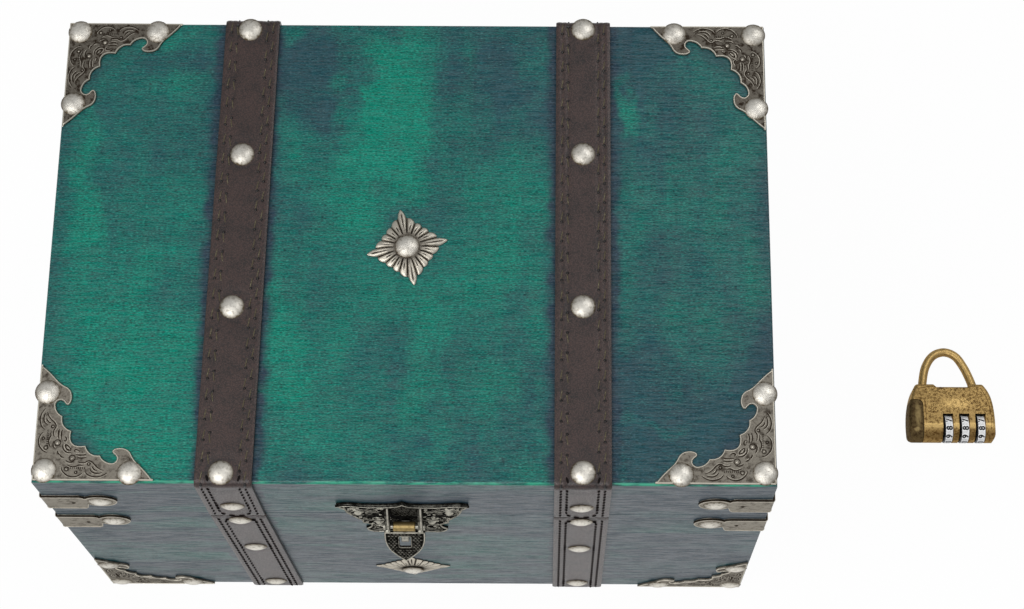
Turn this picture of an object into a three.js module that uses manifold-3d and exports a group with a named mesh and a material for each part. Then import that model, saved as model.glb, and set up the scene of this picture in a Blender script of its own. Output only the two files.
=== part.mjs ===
// Green stained wooden strongbox with leather straps, bronze fittings, a hinged hasp
// and a three dial brass padlock that lies on its back beside the box.
// Millimetres, +Z up, the front face looks towards -Y, the origin is the centre of the underside.
import * as THREE from "three";
import { mergeVertices } from "three/addons/utils/BufferGeometryUtils.js";
import Module from "manifold-3d";

const wasm = await Module();
wasm.setup();

// Box: outside size. The seam between base and lid is at the base's height
const boxWidth = 290;
const boxDepth = 198;
const seamHeight = 130;
const lidHeight = 46;
const boxHeight = seamHeight + lidHeight;
const seamGap = 0.4;
const wallThickness = 8;
const cornerSkin = 3;
const floorThickness = 6;
const floorRebate = 4;
const topThickness = 7;
const topEdgeRadius = 1.2;

// Domed nails with square shanks, driven through straps, plates and bands into clearance holes in the wood
const nailHead = { radius: 5, height: 1.4, sides: 10 };
const nailShank = { radius: 0.9, length: 6 };
const tackHead = { radius: 1.8, height: 1.1, sides: 8 };
const tackShank = { radius: 0.7, length: 5 };
const shankClearance = 0.35;
const shankSides = 4;

// Leather straps
const strapWidth = 22.4;
const strapThickness = 1.8;
const strapInset = 75.5;
const strapX = boxWidth / 2 - strapInset;
const strapBend = 2.2;
const strapSeamClearance = 0.3;
const strapFootClearance = 0.3;
const strapTopNails = [-27, 39];
const strapEndNailInset = 4.5;
const lidStrapNailRise = 17;
const baseStrapNailDrop = 5.5;
const baseStrapNailMiddle = 78;
const baseStrapNailLow = 11;

// Corner plates: the leg's inset from the box edge and the nails
const plateThickness = 1;
const plateInset = 0.5;
const plateNailInset = 5.2;
const plateNailReach = 38;

// Corner bands: the rise and the drop are those of the nails, from the seam
const bandThickness = 0.9;
const bandHeight = 16.5;
const bandNailInset = 22.2;
const bandNailOffset = 2.4;
const bandLobeRadius = 6.6;
const bandLobeAngle = 150;
const bandNeck = 15.5;
const bandPinHole = { inset: 11.2, radius: 0.7 };
const lidBandRise = 19.9;
const baseBandDrop = 11.2;

// Rosettes: four long petals, and shorter ones between them
const rosetteReach = 16.6;
const rosettePetals = 20;
const rosetteTips = 4;
const rosetteSeat = { radius: 5.3, height: 1.5 };
const rosetteEdge = 0.6;
const rosetteRidge = 0.35;
const petalShare = 0.93;
const grooveShare = 0.86;
const ridgeShare = 0.78;
const topRosette = { x: -1.3, y: -0.7, turn: 11.4 };
const frontRosette = { x: -4, y: 37, turn: 0 };

// Padlock shackle: its wire also sizes the staple that it goes through
const shackleRadius = 1.9;

// Hasp on the front: plates, lugs, pin, tongue and staple
const haspX = -2.5;
const haspPlate = 1;
const haspRim = 0.7;
const haspRimWidth = 1.1;
const haspSeamClearance = 0.35;
const haspPinOut = 5.2;
const haspPinDrop = 1;
const haspPinRadius = 0.95;
const haspPinPlay = 0.1;
const haspClearance = 0.3;
const haspBore = haspPinRadius + haspClearance;
const haspPinHead = { radius: haspBore + 0.35, length: 0.7 };
const lugX = 6.7;
const lugWidth = 2;
const lugRadius = haspBore + 0.95;
const lugRise = 11.2;
const lugFoot = 1.4;
const lugUnderside = 207;
const tongueThickness = 1;
const tongueLength = 22.2;
const tongueHalfWidth = 8.1;
const tongueShoulder = 3.2;
const tongueTip = { x: 4.9, rise: 5.1 };
const tongueLean = 25;
const tongueSidePlay = 1.2;
const tongueBarrel = { radius: haspBore + 0.75, halfLength: lugX - lugWidth / 2 - tongueSidePlay };
const stapleWidth = 2.4;
const stapleRadius = 2.9;
const stapleOut = 6.3;
const stapleBore = shackleRadius + 0.1;
const slotSidePlay = 1.45;
const slotEndPlay = 0.7;
const slotDrop = 9.5;
const upperTack = { x: 18.5, y: 5 };
const lowerTack = { x: 10.8, y: -9.5 };
const haspCrescent = { outer: 5, inner: 3.4, from: 25, to: 155 };
const haspHoles = [
  { x: 11, y: -4.4, halfWidth: 1.9, halfHeight: 1.6 },
  { x: 10.6, y: -17.6, halfWidth: 1.9, halfHeight: 2.7 },
];

// Butt hinges on the back, midway between the straps and the bands
const bandReach = bandNailInset + bandLobeRadius;
const hingeX = (strapX + strapWidth / 2 + boxWidth / 2 - bandReach) / 2;
const hingeWidth = 24;
const hingeKnuckles = 5;
const hingePinRadius = 1.1;
const hingeClearance = 0.3;
const hingeBore = hingePinRadius + hingeClearance;
const hingeKnuckleRadius = hingeBore + 0.8;
const hingeOut = hingeKnuckleRadius + 0.2;
const hingeLeafHeight = 18;
const hingeLeafThickness = 1;
const hingeSides = 8;
const hingeTack = { x: 7, rise: 11.5 };
const hingePinPlay = 0.1;
const hingePinHead = { radius: hingeBore + 0.4, length: 0.6 };

// Padlock: x across, y from its lower edge to the shackle, z from its back to its face
const lockHalfWidth = 20.7;
const lockFromBox = 79.8;
const lockSetBack = 67;
const lockX = boxWidth / 2 + lockFromBox + lockHalfWidth;
const lockY = lockSetBack - boxDepth / 2;
const lockThickness = 14;
const lockMiddle = lockThickness / 2;
const lockEdge = 1.6;
const lockCorner = 5;
const lockBulge = 0.2;
const lockWaist = 16.5;
const lockShoulder = 26.7;
const lockShoulderInset = 4.6;
const lockShoulderRound = 1.2;
const lockRecess = { halfWidth: 7.1, depth: 1.3, slope: 1.5 };
const lockClearance = 0.3;
const dialRadius = 6.5;
const dialWidth = 4;
const dialPitch = 7.55;
const dialCount = 3;
const dialFirstX = -2.5;
const dialChamfer = 0.3;
const dialProud = 0.2;
const dialSunk = 0.1;
const dialY = dialRadius - dialProud;
const dialZ = lockThickness - dialRadius - dialSunk;
const dialX = Array.from({ length: dialCount }, (_, index) => dialFirstX + index * dialPitch);
const dialWindow = { top: 11.4, above: 1.6 };
const spindleRadius = 1.5;
const spindleEnds = [dialX.at(0) - dialWidth / 2 - 4, dialX.at(-1) + dialWidth / 2 + 2.4];
const shackleRoute = [
  [-14.1, 23.4], [-13.1, 29.4], [-10.9, 36.8], [-7.2, 42.4], [-1.8, 44.4],
  [3.4, 42.4], [6.9, 37.4], [9.6, 31.2], [12.1, 23.4],
];
const shackleSteps = 22;
const shackleEye = 2.5;
const shackleSwing = 4.5;
const pivotRadius = 1;
const pivotCover = 1.2;
const toeClearance = 0.6;
const sliderEdge = { x: -14.3, y: 18, corner: 3 };
const sliderBar = { reach: -8, y: 14.4, height: 3.4, thickness: 3.2 };

// Solids: geometries are joined and cut as closed bodies
const toRadians = THREE.MathUtils.degToRad;

function solid(geometry) {
  const bare = geometry.index ? geometry.toNonIndexed() : geometry.clone();
  bare.deleteAttribute("normal");
  bare.deleteAttribute("uv");
  const merged = mergeVertices(bare, 1e-4);
  const vertProperties = merged.attributes.position.array;
  const triVerts = new Uint32Array(merged.index.array);
  return new wasm.Manifold(new wasm.Mesh({ numProp: 3, vertProperties, triVerts }));
}

function geometryOf(body) {
  const mesh = body.getMesh();
  const geometry = new THREE.BufferGeometry();
  geometry.setAttribute("position", new THREE.BufferAttribute(mesh.vertProperties, 3));
  geometry.setIndex(new THREE.BufferAttribute(mesh.triVerts, 1));
  return geometry;
}

function join(...geometries) {
  return geometryOf(geometries.map(solid).reduce((sum, part) => sum.add(part)));
}

function cut(geometry, ...cutters) {
  return geometryOf(cutters.map(solid).reduce((rest, cutter) => rest.subtract(cutter), solid(geometry)));
}

function common(geometry, other) {
  return geometryOf(solid(geometry).intersect(solid(other)));
}

function block([x0, x1], [y0, y1], [z0, z1]) {
  const geometry = new THREE.BoxGeometry(x1 - x0, y1 - y0, z1 - z0);
  return geometry.translate((x0 + x1) / 2, (y0 + y1) / 2, (z0 + z1) / 2);
}

function extrude(shape, depth, curveSegments = 5) {
  return new THREE.ExtrudeGeometry(shape, { depth, bevelEnabled: false, curveSegments });
}

function polygon(points) {
  return new THREE.Shape(points.map(([x, y]) => new THREE.Vector2(x, y)));
}

const unitX = new THREE.Vector3(1, 0, 0);
const unitY = new THREE.Vector3(0, 1, 0);
const unitZ = new THREE.Vector3(0, 0, 1);

// A profile extruded by a width that is centred on the drawing plane, with its axes laid on new ones
function extrudeOnto(axes, shape, width, curveSegments) {
  const geometry = extrude(shape, width, curveSegments).translate(0, 0, -width / 2);
  return geometry.applyMatrix4(new THREE.Matrix4().makeBasis(...axes));
}

// A profile drawn in Y and Z and extruded along X
function alongX(shape, width, curveSegments) {
  return extrudeOnto([unitY, unitZ, unitX], shape, width, curveSegments);
}

// A profile drawn as distance out of a face and height up it, extruded sideways
function outOfFace(shape, width, curveSegments) {
  return extrudeOnto([unitZ, unitY, unitX.clone().negate()], shape, width, curveSegments);
}

// A closed profile of radius and height, turned round Z
function revolve(profile, sides) {
  const points = profile.map(([radius, height]) => new THREE.Vector2(radius, height));
  return new THREE.LatheGeometry(points, sides).rotateX(Math.PI / 2);
}

function rod(radius, [from, to], sides = 10) {
  return revolve([[0, from], [radius, from], [radius, to], [0, to]], sides);
}

function rodAlongX(radius, ends, sides = 10) {
  return rod(radius, ends, sides).rotateY(Math.PI / 2);
}

// A pin along X with a head at each end, outside the given span
function headedPin(radius, span, head, sides = 10) {
  const half = span / 2;
  const end = half + head.length;
  const profile = [
    [0, -end], [head.radius, -end], [head.radius, -half], [radius, -half],
    [radius, half], [head.radius, half], [head.radius, end], [0, end],
  ];
  return revolve(profile, sides).rotateY(Math.PI / 2);
}

// Frames: a face's own frame has x to the right, y upwards (backwards on the top) and z outwards
function frame(x, y, z, tilt = 0, turn = 0) {
  const rotation = new THREE.Euler(toRadians(tilt), 0, toRadians(turn), "ZXY");
  return new THREE.Matrix4().makeRotationFromEuler(rotation).setPosition(x, y, z);
}

const faces = {
  top: frame(0, 0, boxHeight),
  front: frame(0, -boxDepth / 2, 0, 90, 0),
  right: frame(boxWidth / 2, 0, 0, 90, 90),
  back: frame(0, boxDepth / 2, 0, 90, 180),
  left: frame(-boxWidth / 2, 0, 0, 90, 270),
};

function on(face, x, y, turn = 0, out = 0) {
  return faces[face].clone().multiply(frame(x, y, out, 0, turn));
}

// Nails: z = 0 is the seat of the head
function dome(head) {
  const sphere = (head.radius ** 2 + head.height ** 2) / (2 * head.height);
  const drop = 0.35 * head.height;
  const middle = Math.sqrt(sphere ** 2 - (sphere - drop) ** 2);
  return revolve([[0, 0], [head.radius, 0], [middle, head.height - drop], [0, head.height]], head.sides);
}

function nail(head, shank) {
  return join(dome(head), rod(shank.radius, [-shank.length, head.height / 4], shankSides));
}

const nailKinds = {
  nail: { solid: nail(nailHead, nailShank), shank: nailShank },
  tack: { solid: nail(tackHead, tackShank), shank: tackShank },
};

function nailHole(kind) {
  const { radius, length } = nailKinds[kind].shank;
  return rod(radius + shankClearance, [-length - shankClearance, shankClearance], shankSides);
}

// The object: one group for each body that moves, filled below
const bodies = { box: new THREE.Group(), lid: new THREE.Group(), padlock: new THREE.Group() };
bodies.padlock.position.set(lockX, lockY, 0);

const materials = {
  wood: new THREE.MeshStandardMaterial({ color: "#2e6561", roughness: 0.6 }),
  leather: new THREE.MeshStandardMaterial({ color: "#4c413f", roughness: 0.65 }),
  bronze: new THREE.MeshStandardMaterial({ color: "#7d7466", roughness: 0.45, metalness: 0.9 }),
  darkBronze: new THREE.MeshStandardMaterial({ color: "#504c44", roughness: 0.5, metalness: 0.9 }),
  brass: new THREE.MeshStandardMaterial({ color: "#a08450", roughness: 0.4, metalness: 0.9 }),
  dial: new THREE.MeshStandardMaterial({ color: "#e8e6e0", roughness: 0.4 }),
};

function add(body, name, material, geometry, matrix = new THREE.Matrix4()) {
  const mesh = new THREE.Mesh(geometry, materials[material]);
  mesh.name = name;
  mesh.applyMatrix4(matrix);
  bodies[body].add(mesh);
}

// Trim: nailed pieces. Each keeps its nails' places, for the holes in the wood behind it
const drilled = { box: [], lid: [] };

function addTrim(body, name, material, geometry, matrix, spots, kind = "nail") {
  const nails = spots.map((spot) => nailKinds[kind].solid.clone().applyMatrix4(spot));
  add(body, name, material, join(geometry, ...nails), matrix);
  spots.forEach((spot) => drill(body, kind, matrix.clone().multiply(spot)));
}

// A nail or tack that is a piece of its own
function addNail(body, name, kind, place) {
  add(body, name, "bronze", nailKinds[kind].solid.clone(), place);
  drill(body, kind, place);
}

function drill(body, kind, place) {
  drilled[body].push(nailHole(kind).applyMatrix4(place));
}

function addBoard(body, name, geometry) {
  geometry.computeBoundingBox();
  const near = drilled[body].filter((hole) => {
    hole.computeBoundingBox();
    return geometry.boundingBox.intersectsBox(hole.boundingBox);
  });
  add(body, name, "wood", cut(geometry, ...near));
}

// Straps
const sides = { left: -1, right: 1 };

function lidStrap() {
  const half = boxDepth / 2;
  const out = half + strapThickness;
  const top = boxHeight + strapThickness;
  const foot = seamHeight + seamGap + strapSeamClearance;
  const shape = new THREE.Shape();
  shape.moveTo(-out, foot).lineTo(-half, foot).lineTo(-half, boxHeight).lineTo(half, boxHeight);
  shape.lineTo(half, foot).lineTo(out, foot).lineTo(out, top - strapBend);
  shape.absarc(out - strapBend, top - strapBend, strapBend, 0, Math.PI / 2, false);
  shape.lineTo(strapBend - out, top);
  shape.absarc(strapBend - out, top - strapBend, strapBend, Math.PI / 2, Math.PI, false);
  return alongX(shape, strapWidth, 3);
}

function lidStrapNails() {
  const end = boxDepth / 2 - strapEndNailInset;
  const rise = seamHeight + lidStrapNailRise;
  const top = [-end, ...strapTopNails, end].map((y) => on("top", 0, y, 0, strapThickness));
  return [...top, on("front", 0, rise, 0, strapThickness), on("back", 0, rise, 0, strapThickness)];
}

function addStraps() {
  const top = seamHeight - strapSeamClearance;
  const half = strapWidth / 2;
  const baseStrap = block([-half, half], [strapFootClearance, top], [0, strapThickness]);
  const heights = [seamHeight - baseStrapNailDrop, baseStrapNailMiddle, baseStrapNailLow];
  const spots = heights.map((y) => frame(0, y, strapThickness));
  for (const [side, sign] of Object.entries(sides)) {
    addTrim("lid", `lid_strap_${side}`, "leather", lidStrap(), frame(sign * strapX, 0, 0), lidStrapNails());
    addTrim("box", `front_strap_${side}`, "leather", baseStrap, on("front", sign * strapX, 0), spots);
    addTrim("box", `back_strap_${side}`, "leather", baseStrap, on("back", -sign * strapX, 0), spots);
  }
}

// Corner plates: a leg along x and one along y, with hooked ends and a scalloped inner edge.
// Each curve of the outline, from the leg's tip to the diagonal, is a control point and an end point
const plateTip = [47.5, plateInset];
const plateCurves = [
  [[45.4, 5.2], [40.6, 8.6]],
  [[39, 12.6], [34.4, 12.7]],
  [[31.2, 12.7], [31.2, 10.6]],
  [[31.3, 9.6], [32.4, 9.1]],
  [[33.8, 8.2], [33.2, 7]],
  [[29.6, 5.4], [26.2, 10.2]],
  [[22, 8.8], [20.3, 13.8]],
];
const plateBite = [13.2, 13.2];

function cornerPlate() {
  const shape = new THREE.Shape();
  shape.moveTo(plateInset, plateInset).lineTo(...plateTip);
  plateCurves.forEach(([control, end]) => shape.quadraticCurveTo(...control, ...end));
  const ends = [plateTip, ...plateCurves.map(([, end]) => end)];
  const mirrored = ([x, y]) => [y, x];
  shape.quadraticCurveTo(...plateBite, ...mirrored(ends.at(-1)));
  plateCurves.toReversed().forEach(([control], index) => {
    shape.quadraticCurveTo(...mirrored(control), ...mirrored(ends.at(-2 - index)));
  });
  return extrude(shape, plateThickness, 3);
}

function addCornerPlates() {
  const near = plateNailInset;
  const places = [[near, near], [plateNailReach, near], [near, plateNailReach]];
  const spots = places.map(([x, y]) => frame(x, y, plateThickness));
  const [x, y] = [boxWidth / 2, boxDepth / 2];
  const onTop = {
    front_left: [-x, -y, 0],
    front_right: [x, -y, 90],
    back_right: [x, y, 180],
    back_left: [-x, y, 270],
  };
  for (const [corner, place] of Object.entries(onTop)) {
    addTrim("lid", `lid_plate_${corner}`, "bronze", cornerPlate(), on("top", ...place), spots);
  }
  addTrim("box", "front_plate_left", "bronze", cornerPlate(), on("front", -x, 0, 0), spots);
  addTrim("box", "front_plate_right", "bronze", cornerPlate(), on("front", x, 0, 90), spots);
}

// Corner bands: two legs, each with a round lobe about its nail, meet at the box's upright edge.
// y = 0 is the nail's height
function bandLeg(direction, start) {
  const top = bandHeight / 2 - bandNailOffset;
  const low = top - bandHeight;
  const shape = new THREE.Shape();
  const at = (distance) => direction * distance;
  const open = toRadians(bandLobeAngle);
  const lobeStart = [bandNailInset + bandLobeRadius * Math.cos(open), -bandLobeRadius * Math.sin(open)];
  shape.moveTo(at(start), low).lineTo(at(bandNeck - 1), low);
  shape.quadraticCurveTo(at(bandNeck + 1), low, at(lobeStart[0]), lobeStart[1]);
  const from = direction > 0 ? -open : Math.PI + open;
  const to = direction > 0 ? open : Math.PI - open;
  shape.absarc(at(bandNailInset), 0, bandLobeRadius, from, to, direction < 0);
  shape.quadraticCurveTo(at(bandNeck + 1), top, at(bandNeck - 2), top);
  shape.lineTo(at(start), top);
  const leg = extrude(shape, bandThickness, 4);
  const hole = rod(bandPinHole.radius, [-1, bandThickness + 1], shankSides);
  return cut(leg, hole.translate(at(bandPinHole.inset), (top + low) / 2, 0));
}

function addBands() {
  const front = frame(0, 0, 0, 90, 0);
  const right = frame(0, 0, 0, 90, 90);
  const band = join(
    bandLeg(-1, -bandThickness).applyMatrix4(front),
    bandLeg(1, -bandThickness / 2).applyMatrix4(right),
  );
  const spots = [
    front.clone().multiply(frame(-bandNailInset, 0, bandThickness)),
    right.clone().multiply(frame(bandNailInset, 0, bandThickness)),
  ];
  const [x, y] = [boxWidth / 2, boxDepth / 2];
  const corners = {
    front_right: [x, -y, 0],
    back_right: [x, y, 90],
    back_left: [-x, y, 180],
    front_left: [-x, -y, 270],
  };
  for (const [corner, [cornerX, cornerY, turn]] of Object.entries(corners)) {
    const onLid = frame(cornerX, cornerY, seamHeight + lidBandRise, 0, turn);
    const onBase = frame(cornerX, cornerY, seamHeight - baseBandDrop, 0, turn);
    addTrim("lid", `lid_band_${corner}`, "bronze", band, onLid, spots);
    addTrim("box", `base_band_${corner}`, "bronze", band, onBase, spots);
  }
}

// Rosettes: a low plate whose petals are ridges, long at the four tips and cut to a diamond between.
// An even index is a petal's ridge, an odd one the groove beside it
function petalEnd(index) {
  const angle = (index * Math.PI) / rosettePetals;
  const diamond = rosetteReach / (Math.abs(Math.cos(angle)) + Math.abs(Math.sin(angle)));
  if (index % ((2 * rosettePetals) / rosetteTips) === 0) return rosetteReach;
  return diamond * (index % 2 === 0 ? petalShare : grooveShare);
}

function rosette() {
  const count = 2 * rosettePetals;
  const middle = (rosetteSeat.height + rosetteEdge) / 2 + rosetteRidge;
  const rings = [
    () => [rosetteSeat.radius, rosetteSeat.height],
    (index) => [petalEnd(index) * ridgeShare, index % 2 ? middle - 2 * rosetteRidge : middle],
    (index) => [petalEnd(index), index % 2 ? rosetteEdge - rosetteRidge : rosetteEdge],
    (index) => [petalEnd(index), 0],
  ];
  const points = [0, 0, rosetteSeat.height, 0, 0, 0];
  rings.forEach((ring) => {
    for (let index = 0; index < count; index++) {
      const [radius, height] = ring(index);
      const angle = (index * Math.PI) / rosettePetals;
      points.push(radius * Math.cos(angle), radius * Math.sin(angle), height);
    }
  });
  const vertex = (ring, index) => 2 + ring * count + (index % count);
  const triangles = [];
  for (let index = 0; index < count; index++) {
    triangles.push(0, vertex(0, index), vertex(0, index + 1));
    for (let ring = 0; ring < rings.length - 1; ring++) {
      const [a, b] = [vertex(ring, index), vertex(ring, index + 1)];
      const [c, d] = [vertex(ring + 1, index), vertex(ring + 1, index + 1)];
      triangles.push(a, c, d, a, d, b);
    }
    triangles.push(1, vertex(rings.length - 1, index + 1), vertex(rings.length - 1, index));
  }
  const geometry = new THREE.BufferGeometry();
  geometry.setAttribute("position", new THREE.Float32BufferAttribute(points, 3));
  geometry.setIndex(triangles);
  const hole = rod(nailShank.radius + shankClearance, [-1, rosetteSeat.height + 1], shankSides);
  return cut(geometry, hole);
}

function addRosette(body, name, place) {
  add(body, name, "bronze", rosette(), place);
  addNail(body, `${name}_nail`, "nail", place.clone().multiply(frame(0, 0, rosetteSeat.height)));
}

function addRosettes() {
  addRosette("lid", "lid_rosette", on("top", topRosette.x, topRosette.y, topRosette.turn));
  addRosette("box", "front_rosette", on("front", frontRosette.x, frontRosette.y, frontRosette.turn));
}

// Hasp: plates on the front face, drawn about its centre line with y = 0 at the seam
function bothSides(start, curves, end) {
  const shape = new THREE.Shape();
  const ends = [start, ...curves.map(([, point]) => point)];
  shape.moveTo(...start);
  curves.forEach(([control, point]) => shape.quadraticCurveTo(...control, ...point));
  if (end) shape.lineTo(...end);
  const mirrored = ([x, y]) => [-x, y];
  if (end) shape.lineTo(...mirrored(end));
  if (end || ends.at(-1)[0] !== 0) shape.lineTo(...mirrored(ends.at(-1)));
  curves.toReversed().forEach(([control], index) => {
    shape.quadraticCurveTo(...mirrored(control), ...mirrored(ends.at(-2 - index)));
  });
  return shape;
}

const lidPlateTop = [
  [[1.6, 17.2], [4.5, 16.7]],
  [[13, 15.4], [19.5, 17.8]],
  [[23.6, 19], [26.6, 16.4]],
];
const lidPlateSide = [
  [[26.2, 12.4], [23.9, 9.8]],
  [[23.8, 5.2], [21.6, haspSeamClearance]],
];
const lidPlatePeak = [0, 20.3];
const basePlateCurves = [
  [[19.8, -4.6], [17.6, -7.2]],
  [[18.4, -10], [17.4, -11.8]],
  [[13.4, -13.4], [14.8, -16.4]],
  [[15, -19.2], [17, -20.6]],
  [[17.2, -25.8], [12.6, -27]],
  [[7.4, -25.4], [4.6, -28.2]],
  [[2, -29.6], [0, -31]],
];
const basePlateStart = [21, -haspSeamClearance];

// Cut-outs go right through a plate, on both sides of the centre line
function cutOuts({ x, y }, shapeAt) {
  return [-x, x].map((place) => {
    return extrude(shapeAt(place, y), 3 * haspPlate, 4).translate(0, 0, -haspPlate);
  });
}

function crescents() {
  const { outer, inner, from, to } = haspCrescent;
  return cutOuts(upperTack, (x, y) => {
    const shape = new THREE.Shape().absarc(x, y, outer, toRadians(from), toRadians(to), false);
    return shape.absarc(x, y, inner, toRadians(to), toRadians(from), true);
  });
}

function oval(hole) {
  const { halfWidth, halfHeight } = hole;
  return cutOuts(hole, (x, y) => new THREE.Shape().absellipse(x, y, halfWidth, halfHeight, 0, 2 * Math.PI));
}

function tackHoles(tack) {
  const hole = rod(tackShank.radius + shankClearance, [-haspPlate, 2 * haspPlate], shankSides);
  return [-tack.x, tack.x].map((x) => hole.clone().translate(x, tack.y, 0));
}

// A lug stands out of the lid plate and comes down round the pin
function lug(sign) {
  const [out, height] = [haspPinOut, -haspPinDrop];
  const top = haspPlate + haspRim;
  const lean = Math.atan2(out + lugRadius - top, lugRise - height);
  const shape = new THREE.Shape();
  shape.moveTo(haspPlate / 2, lugRise).lineTo(top, lugRise - haspRim);
  shape.absarc(out, height, lugRadius, lean, toRadians(lugUnderside), true);
  shape.lineTo(haspPlate, lugFoot).lineTo(haspPlate / 2, lugFoot);
  return outOfFace(shape, lugWidth, 5).translate(sign * lugX, 0, 0);
}

// The raised rim follows the lid plate's upper edge
function haspRimBand() {
  const lowered = ([x, y]) => [x, y - haspRimWidth];
  const lower = lidPlateTop.map((curve) => curve.map(lowered));
  const foot = [lidPlateTop.at(-1)[1][0], haspSeamClearance];
  const band = bothSides(lidPlatePeak, lidPlateTop, foot);
  const under = bothSides(lowered(lidPlatePeak), lower, foot);
  const cutter = extrude(under, 4 * haspPlate, 4).translate(0, 0, -haspPlate);
  return cut(extrude(band, haspPlate + haspRim, 4), cutter);
}

function haspLidPlate() {
  const shape = bothSides(lidPlatePeak, [...lidPlateTop, ...lidPlateSide]);
  const bore = rodAlongX(haspBore, [-lugX - lugWidth, lugX + lugWidth]);
  bore.translate(0, -haspPinDrop, haspPinOut);
  const whole = join(extrude(shape, haspPlate, 4), haspRimBand(), lug(-1), lug(1));
  return cut(whole, bore, ...crescents(), ...tackHoles(upperTack));
}

function haspBasePlate() {
  const whole = join(extrude(bothSides(basePlateStart, basePlateCurves), haspPlate, 4), staple());
  return cut(whole, ...haspHoles.flatMap(oval), ...tackHoles(lowerTack));
}

// The staple is an upright eye that stands out of the base plate, so that the shackle goes in sideways
function staple() {
  const y = -haspPinDrop - slotDrop;
  const shape = new THREE.Shape();
  shape.moveTo(haspPlate / 2, y - stapleRadius).lineTo(stapleOut, y - stapleRadius);
  shape.absarc(stapleOut, y, stapleRadius, -Math.PI / 2, Math.PI / 2, false);
  shape.lineTo(haspPlate / 2, y + stapleRadius);
  shape.holes.push(new THREE.Path().absarc(stapleOut, y, stapleBore, 0, 2 * Math.PI, true));
  return outOfFace(shape, stapleWidth, 5);
}

// The tongue hangs from its barrel, which turns on the pin at x = y = z = 0
function tongue() {
  const { radius, halfLength } = tongueBarrel;
  const half = tongueThickness / 2;
  const [side, shoulder, end] = [tongueHalfWidth, -tongueShoulder, -tongueLength];
  const start = [side - 0.3, shoulder];
  const curves = [
    [[side, shoulder - 0.2], [side, shoulder - 1.6]],
    [[side + 0.3, end + 2 * tongueTip.rise - 0.6], [tongueTip.x, end + tongueTip.rise]],
    [[tongueTip.x / 2, end + 2.2], [0, end]],
  ];
  const plate = extrude(bothSides(start, curves), tongueThickness, 4).translate(0, 0, -half);
  const neck = block([-halfLength, halfLength], [shoulder - 1, 0], [-half, half]);
  const slotX = stapleWidth / 2 + slotSidePlay;
  const slotY = stapleRadius + slotEndPlay;
  const slot = block([-slotX, slotX], [-slotDrop - slotY, slotY - slotDrop], [-radius, radius]);
  const bore = rodAlongX(haspBore, [-side, side]);
  return cut(join(rodAlongX(radius, [-halfLength, halfLength]), plate, neck), slot, bore);
}

function addHasp() {
  const place = on("front", haspX, seamHeight);
  const pinPlace = place.clone().multiply(frame(0, -haspPinDrop, haspPinOut));
  const span = 2 * (lugX + lugWidth / 2 + haspPinPlay);
  add("lid", "hasp_lid_plate", "darkBronze", haspLidPlate(), place);
  add("box", "hasp_base_plate", "darkBronze", haspBasePlate(), place);
  add("lid", "hasp_pin", "darkBronze", headedPin(haspPinRadius, span, haspPinHead), pinPlace);
  add("lid", "hasp_tongue", "darkBronze", tongue(), pinPlace.clone().multiply(frame(0, 0, 0, -tongueLean)));
  for (const [side, sign] of Object.entries(sides)) {
    const spot = ({ x, y }) => place.clone().multiply(frame(sign * x, y, haspPlate));
    addNail("lid", `hasp_tack_upper_${side}`, "tack", spot(upperTack));
    addNail("box", `hasp_tack_lower_${side}`, "tack", spot(lowerTack));
  }
}

// Butt hinges: x = 0 is the middle of the knuckles, y = 0 the height of the pin, z = 0 the wall
function hingeLeaf(up) {
  const half = hingeWidth / 2;
  const step = hingeWidth / hingeKnuckles;
  const knuckle = rodAlongX(hingeKnuckleRadius, [-half, half], hingeSides).translate(0, 0, hingeOut);
  const rise = up ? [0, hingeLeafHeight] : [-hingeLeafHeight, 0];
  const plate = block([-half, half], rise, [0, hingeLeafThickness]);
  const bore = rodAlongX(hingeBore, [-half - 1, half + 1], hingeSides).translate(0, 0, hingeOut);
  const room = hingeKnuckleRadius + hingeClearance;
  const gaps = [];
  for (let index = up ? 0 : 1; index < hingeKnuckles; index += 2) {
    const from = index === 0 ? -half - 1 : -half + index * step - hingeClearance / 2;
    const to = index === hingeKnuckles - 1 ? half + 1 : -half + (index + 1) * step + hingeClearance / 2;
    gaps.push(block([from, to], [-room, room], [-1, hingeOut + room]));
  }
  return cut(join(knuckle, plate), bore, ...gaps);
}

function addHinges() {
  const axis = seamHeight + seamGap / 2;
  const { x, rise } = hingeTack;
  const spots = (y) => [-x, x].map((across) => frame(across, y, hingeLeafThickness));
  const pin = headedPin(hingePinRadius, hingeWidth + 2 * hingePinPlay, hingePinHead);
  for (const [side, sign] of Object.entries(sides)) {
    const place = on("back", -sign * hingeX, axis);
    addTrim("lid", `hinge_lid_leaf_${side}`, "bronze", hingeLeaf(true), place, spots(rise), "tack");
    addTrim("box", `hinge_base_leaf_${side}`, "bronze", hingeLeaf(false), place, spots(-rise), "tack");
    add("box", `hinge_pin_${side}`, "bronze", pin, place.clone().multiply(frame(0, 0, hingeOut)));
  }
}

// Boards: the front and back boards are rebated at their ends for the side boards
function endBoard(low, high) {
  const [x, y] = [boxWidth / 2, boxDepth / 2];
  const shape = polygon([
    [-x, -y], [x, -y], [x, cornerSkin - y], [x - wallThickness, cornerSkin - y],
    [x - wallThickness, wallThickness - y], [wallThickness - x, wallThickness - y],
    [wallThickness - x, cornerSkin - y], [-x, cornerSkin - y],
  ]);
  return extrude(shape, high - low).translate(0, 0, low);
}

function sideBoard(low, high) {
  const [x, y] = [boxWidth / 2, boxDepth / 2 - cornerSkin];
  return block([x - wallThickness, x], [-y, y], [low, high]);
}

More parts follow.
